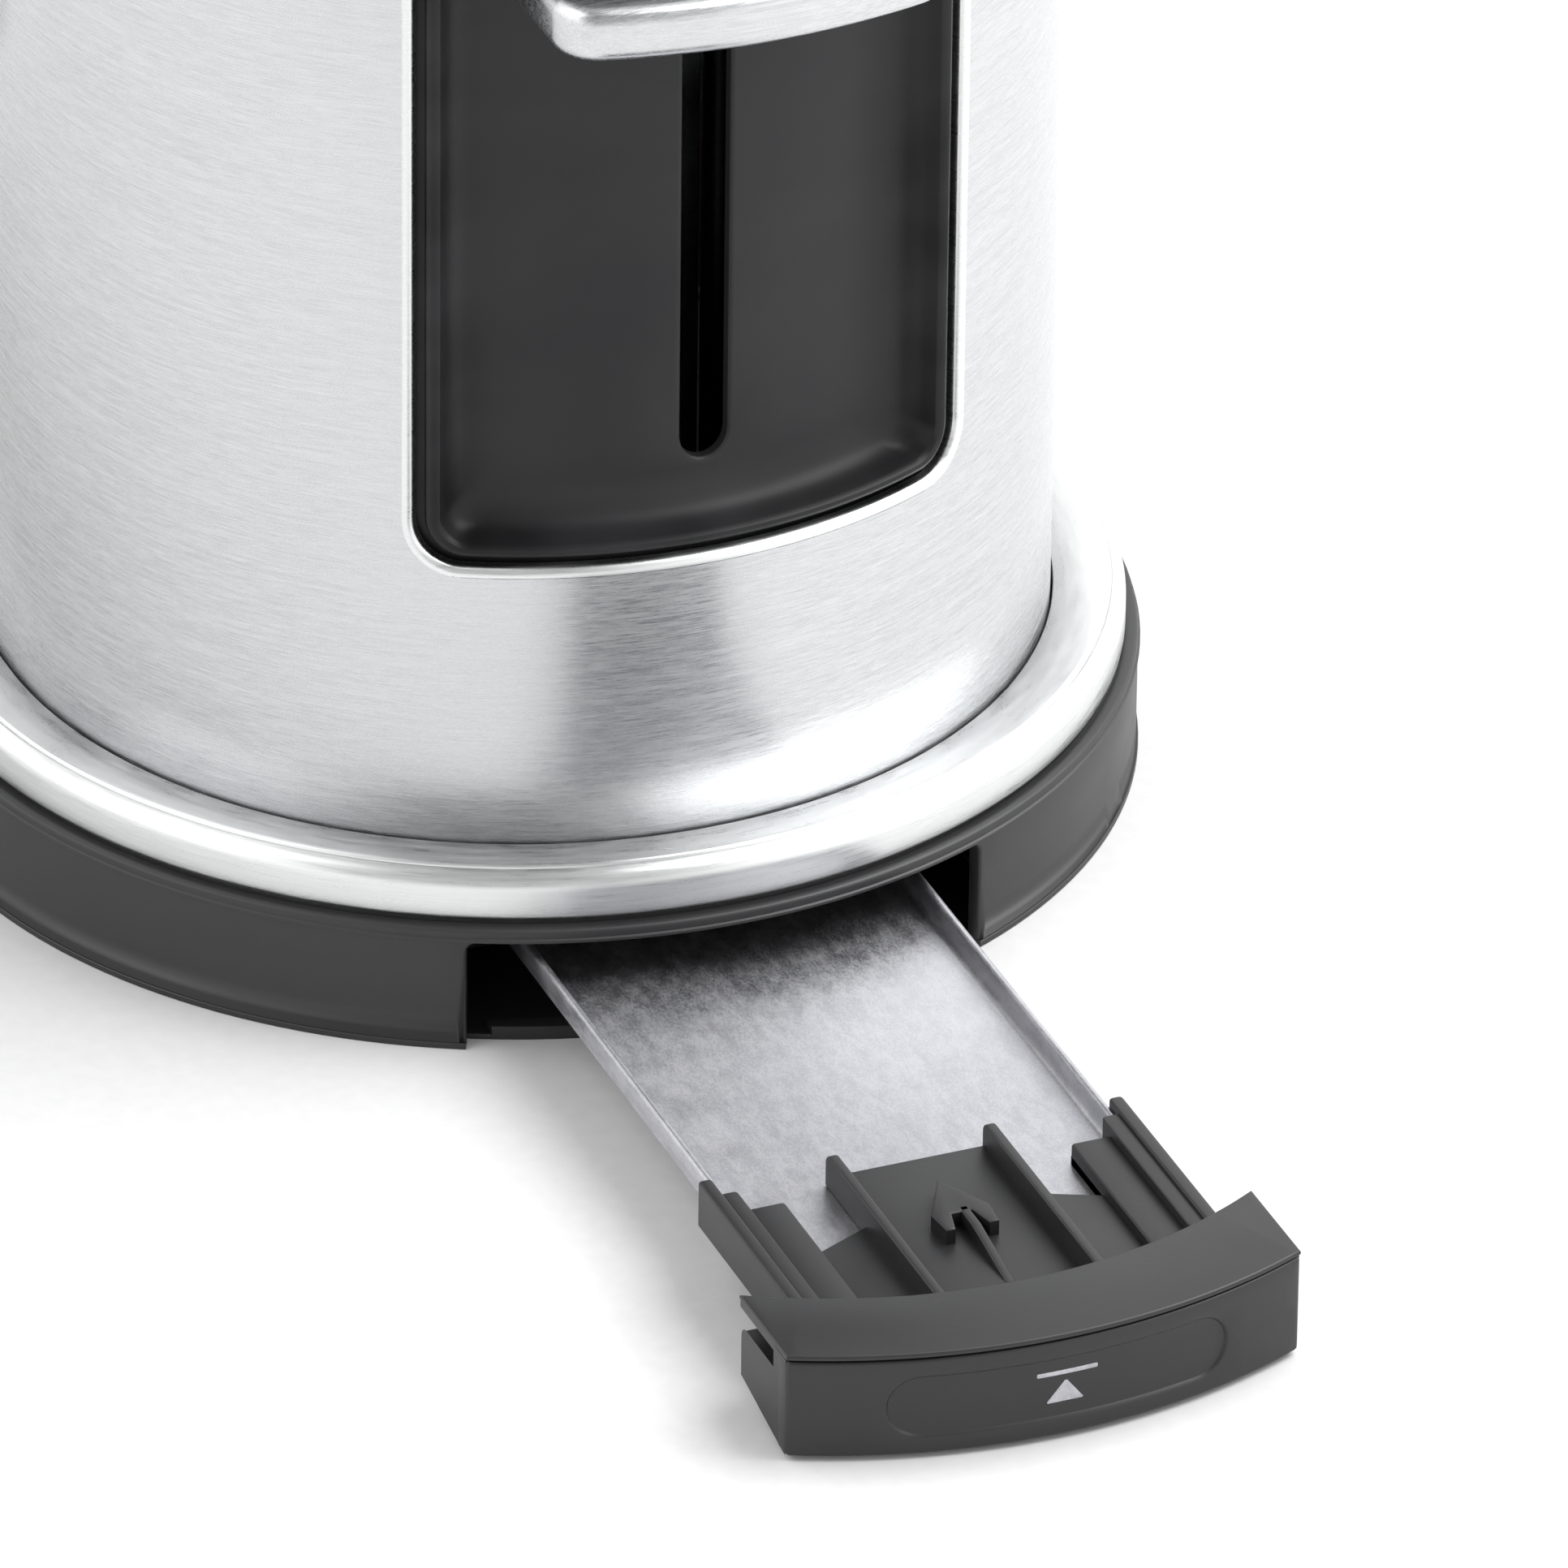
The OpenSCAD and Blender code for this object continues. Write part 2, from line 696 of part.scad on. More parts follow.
module guide_rods() {
    color("#c8cacd") for (s = [-1, 1])
        translate([rod_x, s * rod_pitch / 2, flange_z0 - 2])
            cylinder(d = rod_d, h = flange_z1 - flange_z0 + 5);
}

module lift_spring() {
    color("#b9bbbe") translate([spring_x, 0, 0]) coil(spring_r, 0.5, spring_z0 + 0.8, flange_z1 - 0.8, 14);
}

module magnet_core() {
    outer_leg = core_leg / 2;
    z0 = flange_z0 + chassis_t;
    color("#6e7074") translate([core_x, 0, 0]) {
        block([0, -core_half, z0], [core_l, core_half, z0 + 5]);
        block([0, -core_leg / 2, z0 + 4], [core_l, core_leg / 2, core_z1]);
        for (s = [-1, 1])
            block([0, s * (core_half - outer_leg / 2) - outer_leg / 2, z0 + 4],
                [core_l, s * (core_half - outer_leg / 2) + outer_leg / 2, core_z1]);
    }
}

module magnet_coil() {
    z0 = flange_z0 + chassis_t + 5.4;
    color("#9a5b2c") translate([core_x, 0, 0]) difference() {
        block([-1.2, -core_leg / 2 - 2.6, z0], [core_l + 2.6, core_leg / 2 + 2.6, core_z1 - 3]);
        block([-0.2, -core_leg / 2 - 0.2, z0 - eps], [core_l + 0.2, core_leg / 2 + 0.2, core_z1]);
    }
}

module mains_switch() {
    color("#e2ded2") block([chassis_x + chassis_t, switch_y0, switch_z],
        [chassis_x + switch_l, switch_y0 + 12, switch_z + 20]);
}

module switch_contacts() {
    color("#b88a3e") for (x = [chassis_x + 4, chassis_x + 9])
        union() {
            block([x - 1.2, switch_y0 + 3, switch_z + 20], [x + 1.2, switch_y0 + 3.5, switch_z + 30]);
            translate([x, switch_y0 + 3.2, switch_z + 28]) rotate([90, 0, 0]) cylinder(r = 1.2, h = 1);
        }
}

module carriage_slider() {
    color("#b4b7bb") difference() {
        union() {
            block([slider_x, -slot_pitch / 2 - 8, slider_z0],
                [slider_x + slider_t, slot_pitch / 2 + 8, slider_z0 + 12]);
            block([slider_x, -slider_half, slider_z0], [slider_x + slider_t, slider_half, slider_z1]);
            for (s = [-1, 1])
                block([slider_x + slider_t - 0.1, s * rod_pitch / 2 - bush_r - 0.8, lug_z0],
                    [rod_x + bush_r + 1, s * rod_pitch / 2 + bush_r + 0.8, lug_z0 + lug_h]);
            block([spring_x - 4, -4, spring_z0 - 1], [slider_x + eps / 2, 4, spring_z0]);
        }
        for (s = [-1, 1])
            translate([rod_x, s * rod_pitch / 2, lug_z0 - eps]) cylinder(r = bush_r, h = lug_h + 2 * eps);
    }
}

module rod_bushes() {
    color("#e9e6dc") for (s = [-1, 1])
        translate([rod_x, s * rod_pitch / 2, lug_z0 - 1.5]) difference() {
            union() {
                cylinder(r = bush_r, h = lug_h + 3);
                cylinder(r = bush_r + 1, h = 1.5);
            }
            translate([0, 0, -eps]) cylinder(r = rod_d / 2 + rod_fit, h = lug_h + 3 + 2 * eps);
        }
}

module armature() {
    color("#6e7074") union() {
        block([slider_x + slider_t, -core_half + 0.5, armature_z],
            [core_x + core_l, core_half - 0.5, armature_z + armature_t]);
        block([slider_x + slider_t, -4, armature_z], [slider_x + slider_t + 1.2, 4, armature_z + 12]);
    }
}

module lever_arm() {
    color("#b4b7bb") union() {
        block([slider_x + slider_t, -arm_t / 2, arm_z0], [end_x + body_r + 4, arm_t / 2, arm_z0 + arm_h]);
        block([slider_x + slider_t, -9, arm_z0], [slider_x + slider_t + 1.6, 9, arm_z0 + arm_h]);
    }
}

module lever_knob() {
    back_r = panel_r + 2.5;
    front_r = body_r + lever_proud;
    corner = 7;
    corner_x = sqrt(pow(front_r, 2) - pow(lever_w / 2, 2)) - corner;
    color("#cfd1d4") difference() {
        intersection() {
            arc_band(back_r, front_r, lever_w / 2, knob_z0, knob_z0 + lever_t);
            // rounded front corners
            translate([0, 0, knob_z0 - eps]) linear_extrude(lever_t + 2 * eps) union() {
                translate([end_x, -lever_w / 2 + corner]) square([front_r, lever_w - 2 * corner]);
                translate([end_x, -lever_w / 2]) square([corner_x, lever_w]);
                for (s = [-1, 1])
                    translate([end_x + corner_x, s * (lever_w / 2 - corner)]) circle(corner);
            }
        }
        block([end_x + panel_r, -arm_t / 2, arm_z0], [end_x + body_r + 4, arm_t / 2, arm_z0 + arm_h]);
        translate([end_x + body_r - 1, 0, knob_z0 - eps]) cylinder(r = 1.5, h = 3);
    }
}

module knob_screw() {
    color("#c8c9cb") translate([end_x + body_r - 1, 0, knob_z0]) cylinder(r = 1.5, h = arm_z0 - knob_z0);
}

module bread_rack(s) {
    half = slot_l / 2 - 3;
    teeth = 9;
    color("#c2c5c9") union() {
        block([-chassis_x - 5, s * slot_pitch / 2 - 3, rack_z],
            [slider_x, s * slot_pitch / 2 + 3, rack_z + rack_t]);
        for (i = [0:teeth - 1])
            block([-half + i * 2 * half / (teeth - 1) - 1.5, s * slot_pitch / 2 - rack_w / 2, rack_z],
                [-half + i * 2 * half / (teeth - 1) + 1.5, s * slot_pitch / 2 + rack_w / 2,
                    rack_z + rack_t + 0.8]);
        block([slider_x - 1.2, s * slot_pitch / 2 - 5, rack_z - 4],
            [slider_x, s * slot_pitch / 2 + 5, rack_z + 5]);
    }
}

// Wire guard that holds the bread; s is the slot's side and g the guard's side of the slot
module bread_guard(s, g) {
    y = s * slot_pitch / 2 + g * guard_off;
    r = wire_d / 2;
    color("#c6c8cb") union() {
        for (z = [guard_z0, guard_z1])
            rod_x(-chassis_x - 4, chassis_x + 4, y, z, r);
        for (i = [0:guard_wires - 1])
            translate([-guard_half + i * 2 * guard_half / (guard_wires - 1), y, guard_z0])
                cylinder(r = r * 0.8, h = guard_z1 - guard_z0);
    }
}

// ---- controls ----

module control_fascia() {
    color("#2f2f31") difference() {
        union() {
            side_window(fascia_w - 2 * fascia_fit, control_h - 2 * fascia_fit, 5 - fascia_fit,
                side_y - fascia_proud, fascia_back);
            side_window(fascia_w + 6, control_h + 6, 5,
                side_y + sheet_t + 0.1, side_y + sheet_t + 0.1 + flange_t);
            for (sx = [-1, 1], sz = [-1, 1])
                side_pin(fascia_x + sx * (fascia_w / 2 - 1), fascia_z + sz * (control_h / 2 - 1), 2.5,
                    board_y, side_y + 1.5);
        }
        side_pin(fascia_x, knob_z, shaft_r + 1, board_y, side_y - 5);
        for (z = button_zs) {
            side_pin(fascia_x, z, button_d / 2 + button_fit, side_y + 5, side_y - 5);
            side_pin(lens_x, z, 1.5, side_y + 5, side_y - 5);
        }
    }
}

module status_lenses() {
    color("#e9efe6") for (z = button_zs)
        side_pin(lens_x, z, 1.5, side_y + 2.5, side_y - fascia_proud - 0.3);
}

module control_board() {
    color("#2f6b3f") difference() {
        translate([fascia_x - fascia_w / 2 - 4, board_y, fascia_z - control_h / 2 - 4])
            cube([fascia_w + 8, pcb_t, control_h + 8]);
        for (sx = [-1, 1], sz = [-1, 1])
            side_pin(fascia_x + sx * (fascia_w / 2 - 1), fascia_z + sz * (control_h / 2 - 1), 1.5,
                board_y + 4, board_y - 1);
    }
}

module browning_pot() {
    color("#8d9094") union() {
        side_pin(fascia_x, knob_z, 8, board_y, board_y - 5.5);
        side_pin(fascia_x, knob_z, shaft_r, board_y - 5, side_y - fascia_proud - knob_gap - 5);
    }
}

module tact_switches() {
    color("#1f1f20") for (z = button_zs)
        union() {
            block([fascia_x - 3, board_y - 3.5, z - 3], [fascia_x + 3, board_y, z + 3]);
            side_pin(fascia_x, z, 1.7, board_y - 3.4, board_y - 3.9);
        }
}

module browning_knob() {
    y0 = side_y - fascia_proud - knob_gap;
    color("#2f2f31") difference() {
        union() {
            side_pin(fascia_x, knob_z, knob_d / 2, y0, y0 - 3);
            side_pin(fascia_x, knob_z, knob_d / 2 - 2, y0 - 2.9, y0 - knob_h);
        }
        side_pin(fascia_x, knob_z, shaft_r + shaft_fit, y0 + eps, y0 - 5.2);
        block([fascia_x - 0.6, y0 - knob_h - eps, knob_z + 3],
            [fascia_x + 0.6, y0 - knob_h + 0.6, knob_z + knob_d / 2]);
    }
}

module push_button(z) {
    back = side_y + sheet_t + 0.1 + flange_t;
    color("#3a3a3c") union() {
        side_pin(fascia_x, z, button_d / 2, back + 0.6, side_y - fascia_proud - button_proud);
        side_pin(fascia_x, z, button_d / 2 + 1.5, back + 1.3, back + 0.3);
    }
}

// ---- crumb tray ----

module tray_rails() {
    z0 = pan_z - rail_gap - 2.4;
    color("#3a3a3c") for (s = [0, 1])
        mirror([0, s, 0]) union() {
            block([-chassis_x - 11, pan_half - 6, z0], [rail_x1, pan_half + 1.8, z0 + 2.4]);
            block([-chassis_x - 11, pan_half + rail_gap, z0], [rail_x1, pan_half + 1.8, deck_z]);
        }
}

module latch_bracket() {
    color("#b4b7bb") union() {
        block([latch_x - 5, latch_y - 4, latch_z + latch_t + 0.25], [latch_x + 5, latch_y + 4, deck_z]);
        translate([latch_x, latch_y, latch_z - 0.8]) cylinder(r = latch_pivot_r, h = deck_z - latch_z + 0.8);
        translate([latch_x, latch_y, latch_z - 0.8]) cylinder(r = latch_pivot_r + 0.8, h = 0.5);
    }
}

module latch_arm() {
    color("#d8d9db") translate([latch_x, latch_y, 0]) difference() {
        union() {
            translate([0, 0, latch_z]) cylinder(r = 3.4, h = latch_t);
            translate([0, -1.6, latch_z]) cube([latch_l, 3.2, latch_t]);
            translate([latch_l, 0, latch_z]) cylinder(r = 1.6, h = latch_t);
            translate([latch_l, 0, deck_top + 0.6]) cylinder(r = latch_pin_r, h = latch_z - deck_top);
        }
        translate([0, 0, latch_z - eps]) cylinder(r = latch_pivot_r + 0.05, h = latch_t + 2 * eps);
    }
}

module tray_pan() {
    hem = 1.2;
    color("#a9abb4") union() {
        block([pan_x0, -pan_half, pan_z], [pan_x1, pan_half, pan_floor]);
        block([pan_x0, -pan_half, pan_z], [pan_x0 + pan_t, pan_half, pan_rim]);
        for (s = [0, 1])
            mirror([0, s, 0]) block([pan_x0, pan_half - hem, pan_z], [pan_x1, pan_half, pan_rim]);
    }
}

module tray_cam() {
    // arrow shaped latch cam and the short rib in front of it
    translate([cam_x, 0, deck_top - 0.1]) linear_extrude(cam_z - deck_top + 0.1)
        polygon([[0, 0], [8.5, 4.5], [13, 4], [13, 2.6], [9, 1.6], [9, -1.6], [13, -2.6],
                [13, -4], [8.5, -4.5]]);
    block([cam_x + 10, -0.2, deck_top - 0.1], [tray_cx + base_r - tray_ledge + 1, 1.4, cam_z]);
}

module tray_front() {
    back_r = base_r - tray_ledge;
    half = tray_w / 2;
    color("#3c3c3e") difference() {
        union() {
            // curved face and the ledge on top of it
            arc_band(base_r - base_wall, base_r, half, tray_z0, tray_z1, tray_cx);
            arc_band(back_r, base_r, half, tray_z1 - 2, tray_z1, tray_cx);
            // end walls and the tabs below them
            for (s = [-1, 1])
                intersection() {
                    arc_band(back_r, base_r - 1, half, tray_floor_z, tray_z1 - 1, tray_cx);
                    difference() {
                        translate([tray_cx, s * (half - tray_wall / 2) - tray_wall / 2, 0])
                            cube([base_r, tray_wall, tray_z1]);
                        // slot between the end wall and the ledge
                        block([tray_cx, s * half - tray_wall - 0.1, tray_z1 - 4.8],
                            [tray_cx + base_r - 13, s * half + tray_wall + 0.1, tray_z1 - 2]);
                    }
                }
            arc_band(back_r, back_r + 2, half - 1, tray_floor_z + 2, tray_z1 - 1, tray_cx);
            // floor that lies on the pan, with its ribs and side arms
            difference() {
                block([deck_x0, -arm_in, pan_floor], [tray_cx + back_r + 1, arm_in, deck_top]);
                for (s = [0, 1])
                    mirror([0, s, 0]) translate([0, 0, pan_floor - eps]) linear_extrude(4)
                        polygon([[deck_x0 - 1, rib_y], [deck_x0 + 14, rib_y], [deck_x0 + 18.5, arm_in - 6],
                            [deck_x0 - 1, arm_in - 6]]);
            }
            for (s = [0, 1])
                mirror([0, s, 0]) {
                    block([deck_x0 - 0.5, rib_y - rib_t / 2, pan_floor + 0.2],
                        [tray_cx + back_r, rib_y + rib_t / 2, rib_z]);
                    block([deck_x0 + 6.5, arm_in - 6, pan_floor],
                        [tray_cx + back_r, arm_in + 0.1, deck_top + 1.6]);
                    difference() {
                        union() {
                            block([deck_x0, arm_out - 2.1, pan_z - 1.4],
                                [tray_cx + back_r - 7, arm_out, rib_z]);
                            block([deck_x0 + 3.5, arm_in, pan_z - 1.4],
                                [tray_cx + back_r - 7, arm_out - 2, rib_z - 0.6]);
                        }
                        block([deck_x0 - eps, 0, pan_z], [pan_x1 + 0.2, pan_half + 0.1, pan_floor]);
                        block([deck_x0 - eps, pan_half - 1.3, pan_z],
                            [pan_x1 + 0.2, pan_half + 0.1, pan_rim + 0.1]);
                    }
                }
            tray_cam();
        }
        // shallow finger pad on the face
        difference() {
            intersection() {
                translate([tray_cx, 0, tray_z0 + 7.6]) rotate([90, 0, 90]) linear_extrude(base_r + 5)
                    rounded_rect(51, 9.4, 4.69);
                arc_band(base_r - 0.5, base_r + 5, half, 0, tray_z1, tray_cx);
            }
            arc_band(base_r - 5, base_r - 0.4, half, 0, tray_z1, tray_cx);
        }
    }
}

base_housing();
bottom_plate();
rubber_feet();
base_screws();
base_ring();
body_shell();
recess_panel();
panel_screws();
top_cover();
slot_frame(-1);  // slot_frame_left
slot_frame(1);  // slot_frame_right
chassis_front_plate();
chassis_rear_plate();
chassis_screws();
crumb_chute();
reflector(-1);  // reflector_left
reflector(1);  // reflector_right
heater_board(-heater_y);  // heater_board_left
heater_board(0);  // heater_board_centre
heater_board(heater_y);  // heater_board_right
heater_wire(-heater_y);  // heater_wire_left
heater_wire(0);  // heater_wire_centre
heater_wire(heater_y);  // heater_wire_right
guide_rods();
lift_spring();
magnet_core();
magnet_coil();
mains_switch();
switch_contacts();
control_board();
browning_pot();
tact_switches();
control_fascia();
status_lenses();
cord_gland();
terminal_block();
mains_leads();
tray_rails();
latch_bracket();
carriage_slider();
rod_bushes();
armature();
lever_arm();
lever_knob();
knob_screw();
bread_rack(-1);  // bread_rack_left
bread_rack(1);  // bread_rack_right
bread_guard(-1, -1);  // guard_left_outer
bread_guard(-1, 1);  // guard_left_inner
bread_guard(1, -1);  // guard_right_inner
bread_guard(1, 1);  // guard_right_outer
browning_knob();
push_button(button_zs[0]);  // stop_button
push_button(button_zs[1]);  // defrost_button
push_button(button_zs[2]);  // reheat_button
tray_pan();
tray_front();
latch_arm();
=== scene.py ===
import math

import bmesh
import bpy
import numpy as np
from mathutils import Matrix, Vector
from mathutils.geometry import delaunay_2d_cdt


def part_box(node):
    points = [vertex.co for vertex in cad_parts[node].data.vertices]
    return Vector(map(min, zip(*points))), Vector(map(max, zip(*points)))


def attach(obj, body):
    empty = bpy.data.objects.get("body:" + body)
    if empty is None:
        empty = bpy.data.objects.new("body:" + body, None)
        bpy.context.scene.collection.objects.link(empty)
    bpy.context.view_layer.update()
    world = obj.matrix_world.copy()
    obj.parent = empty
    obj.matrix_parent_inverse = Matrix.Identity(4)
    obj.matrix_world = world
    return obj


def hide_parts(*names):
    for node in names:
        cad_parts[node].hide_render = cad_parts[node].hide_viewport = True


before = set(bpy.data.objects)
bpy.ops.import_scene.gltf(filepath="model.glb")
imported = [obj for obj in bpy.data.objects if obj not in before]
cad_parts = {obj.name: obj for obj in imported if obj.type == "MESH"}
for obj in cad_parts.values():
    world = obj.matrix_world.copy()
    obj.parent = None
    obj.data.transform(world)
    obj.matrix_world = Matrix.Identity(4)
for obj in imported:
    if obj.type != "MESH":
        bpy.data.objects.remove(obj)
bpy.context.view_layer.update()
mm = 0.001  # shapes are drawn in millimetres and built in metres


def nodeBox(node):
    low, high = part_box(node)
    return Vector(low) / mm, Vector(high) / mm


# Plan of the toaster: two half circles about x = +-endX, joined by straight sides
baseHigh = nodeBox("base_housing")[1]
ringHigh = nodeBox("base_ring")[1]
shellLow, shellHigh = nodeBox("body_shell")
coverHigh = nodeBox("top_cover")[1]
knobLow, knobHigh = nodeBox("lever_knob")
trayLow, trayHigh = nodeBox("tray_front")
panLow, panHigh = nodeBox("tray_pan")
baseR = baseHigh.y
endX = baseHigh.x - baseR
bodyR = shellHigh.y
ringR = ringHigh.y
skirtTop = baseHigh.z
coverTop = coverHigh.z
sheetT = 0.8
print("frame loaded, base", round(baseR * 2), "mm wide")


# drawing in the flat: a point is (out, along, up), and a place bends it into position

def wrapPlan(refR):
    # along is a length round the plan at refR, zero in the middle of the lever's end
    quarter, straight = refR * math.pi / 2, 2 * endX

    def place(p):
        out, along, up = p
        side, a = (1 if along >= 0 else -1), abs(along)
        if a <= quarter:
            angle, x = a / refR, endX
        elif a <= quarter + straight:
            angle, x = math.pi / 2, endX - (a - quarter)
        else:
            angle, x = (a - straight) / refR, -endX
        spot = Vector((x + out * math.cos(angle), side * out * math.sin(angle), up))
        return spot, Matrix.Rotation(side * angle, 3, "Z")

    return place


def roundFace(centreX):
    # along keeps its y, so that the ends of a piece stay parallel to x
    def place(p):
        out, along, up = p
        deep = math.sqrt(out * out - along * along)
        slope = Matrix(((deep / out, 0, 0), (along / out, 1, 0), (0, 0, 1)))
        return Vector((centreX + deep, along, up)), slope

    return place


def fixedPlace(columns, shift=(0, 0, 0)):
    turn = Matrix(columns).transposed()
    return lambda p: (turn @ Vector(p) + Vector(shift), turn)


def layFlat(x=0, y=0, z=0):
    return fixedPlace(((0, 0, 1), (1, 0, 0), (0, 1, 0)), (x, y, z))


def sideFace(x=0, y=0, z=0):
    return fixedPlace(((0, -1, 0), (1, 0, 0), (0, 0, 1)), (x, y, z))


def rearFace(x=0, y=0, z=0):
    return fixedPlace(((-1, 0, 0), (0, -1, 0), (0, 0, 1)), (x, y, z))


def mirrored(place):
    # the same place on the other side of the toaster
    flip = Matrix.Diagonal((1, -1, 1))

    def placeMirrored(p):
        spot, turn = place(p)
        return flip @ spot, flip @ turn

    return placeMirrored


def planSteps(refR, arcSteps=88, sideSteps=10):
    quarter, straight = refR * math.pi / 2, 2 * endX
    half = [quarter * i / (arcSteps / 2) for i in range(arcSteps // 2 + 1)]
    half += [quarter + straight * i / sideSteps for i in range(1, sideSteps + 1)]
    half += [quarter + straight + quarter * i / (arcSteps / 2) for i in range(1, arcSteps // 2 + 1)]
    return [-a for a in reversed(half[1:])] + half


def roundedLoop(u, v, w, h, r, stepsU=1, stepsV=1, cornerSteps=6):
    # counterclockwise rounded rectangle about (u, v)
    loop = []
    corners = ((1, -1, -90, stepsV), (1, 1, 0, stepsU), (-1, 1, 90, stepsV), (-1, -1, 180, stepsU))
    for su, sv, start, steps in corners:
        cu, cv = u + su * (w / 2 - r), v + sv * (h / 2 - r)
        for i in range(cornerSteps + 1):
            a = math.radians(start + 90 * i / cornerSteps)
            loop.append((cu + r * math.cos(a), cv + r * math.sin(a)))
        a = math.radians(start + 90)
        first = loop[-1]
        du, dv = -math.sin(a), math.cos(a)
        length = (w if du else h) - 2 * r if abs(du) > 0.5 else h - 2 * r
        for i in range(1, steps):
            loop.append((first[0] + du * length * i / steps, first[1] + dv * length * i / steps))
    return loop


def arcPoints(cu, cv, r, a0, a1, steps):
    angles = [math.radians(a0 + (a1 - a0) * i / steps) for i in range(steps + 1)]
    return [(cu + r * math.cos(a), cv + r * math.sin(a)) for a in angles]


def stadiumLoop(r, steps=64):
    return arcPoints(endX, 0, r, -90, 90, steps) + arcPoints(-endX, 0, r, 90, 270, steps)


def insetLoop(loop, inset, seam=None):
    # moves a loop to its left, which is into the material for an outline drawn
    # counterclockwise and for a hole drawn clockwise
    moved = []
    for i, here in enumerate(loop):
        p, before, after = Vector(here), Vector(loop[i - 1]), Vector(loop[(i + 1) % len(loop)])
        d1, d2 = (p - before).normalized(), (after - p).normalized()
        n1, n2 = Vector((-d1.y, d1.x)), Vector((-d2.y, d2.x))
        step = (n1 + n2) * (inset / max(0.3, 1 + n1.dot(n2)))
        if seam and abs(abs(p.x) - seam) < 1e-6:
            step.x = 0
        moved.append(tuple(p + step))
    return moved


def insideLoops(points, loops):
    points = np.array(points, float).reshape(-1, 2)
    inside = np.zeros(len(points), bool)
    for loop in loops:
        for (u0, v0), (u1, v1) in zip(loop, loop[1:] + loop[:1]):
            if v0 != v1:
                crosses = (points[:, 1] < v0) != (points[:, 1] < v1)
                at = u0 + (points[:, 1] - v0) * (u1 - u0) / (v1 - v0)
                inside ^= crosses & (points[:, 0] < at)
    return inside


def addFaces(shape, points, faces):
    start = len(shape["points"])
    shape["points"] += [tuple(p) for p in points]
    shape["faces"] += [tuple(start + i for i in face) for face in faces]


def newShape():
    return {"points": [], "faces": []}


def addCap(shape, out, loops, gridU=(), gridV=()):
    # flat face inside the first loop and outside the others, with grid points so that it can bend
    points, edges = [], []
    for loop in loops:
        start = len(points)
        points += loop
        edges += [(start + i, start + (i + 1) % len(loop)) for i in range(len(loop))]
    grid = [(u, v) for u in gridU for v in gridV]
    if grid:
        grid = np.array(grid)
        rim = np.array(points)
        near = np.array([np.abs(rim - g).max(1).min() for g in grid])
        grid = grid[insideLoops(grid, loops) & (near > 0.7)]
        points = points + [tuple(g) for g in grid.tolist()]
    found = delaunay_2d_cdt([Vector(p) for p in points], edges, [], 0, 1e-6)
    centres = [sum((found[0][i] for i in face), Vector((0, 0))) / len(face) for face in found[2]]
    keep = insideLoops([tuple(c) for c in centres], loops)
    addFaces(shape, [(out, p.x, p.y) for p in found[0]], [f for f, k in zip(found[2], keep) if k])


def addStrip(shape, rings, loopShut=True, chainShut=False):
    # faces between one ring of points and the next
    n = len(rings[0])
    last = n if loopShut else n - 1
    count = len(rings) if chainShut else len(rings) - 1
    faces = []
    for k in range(count):
        a, b = k * n, ((k + 1) % len(rings)) * n
        faces += [(a + i, a + (i + 1) % n, b + (i + 1) % n, b + i) for i in range(last)]
    addFaces(shape, [p for ring in rings for p in ring], faces)


def edgeSection(top, bottom, r, rBottom=None, steps=3):
    # section of a plate's edge from top face to bottom face, as (inset, out)
    rBottom = r if rBottom is None else rBottom
    turn = [math.pi / 2 * i / steps for i in range(steps + 1)]
    upper = [(r * (1 - math.sin(a)), top - r * (1 - math.cos(a))) for a in turn]
    lower = [(rBottom * (1 - math.cos(a)), bottom + rBottom * (1 - math.sin(a))) for a in turn]
    return upper + lower


def addPlate(shape, outline, section, holes=(), gridU=(), gridV=(), seam=None):
    # plate with a shaped edge; each hole is a clockwise loop with its own section
    edges = [(outline, section)] + list(holes)
    for end in (0, -1):
        loops = [insetLoop(loop, s[end][0], seam) for loop, s in edges]
        addCap(shape, section[end][1], loops, gridU, gridV)
    for loop, s in edges:
        rings = [[(out, *p) for p in insetLoop(loop, inset, seam)] for inset, out in s]
        addStrip(shape, rings)
    if seam:
        shape["faces"] = [f for f in shape["faces"]
                          if not all(abs(abs(shape["points"][i][1]) - seam) < 1e-6 for i in f)]
    return shape


def addLathe(shape, section, steps=48, u=0, v=0):
    # section is (radius, out) from one end of the axis to the other
    turn = [2 * math.pi * i / steps for i in range(steps)]
    addStrip(shape, [[(out, u + r * math.cos(a), v + r * math.sin(a)) for a in turn]
                     for r, out in section])
    return shape


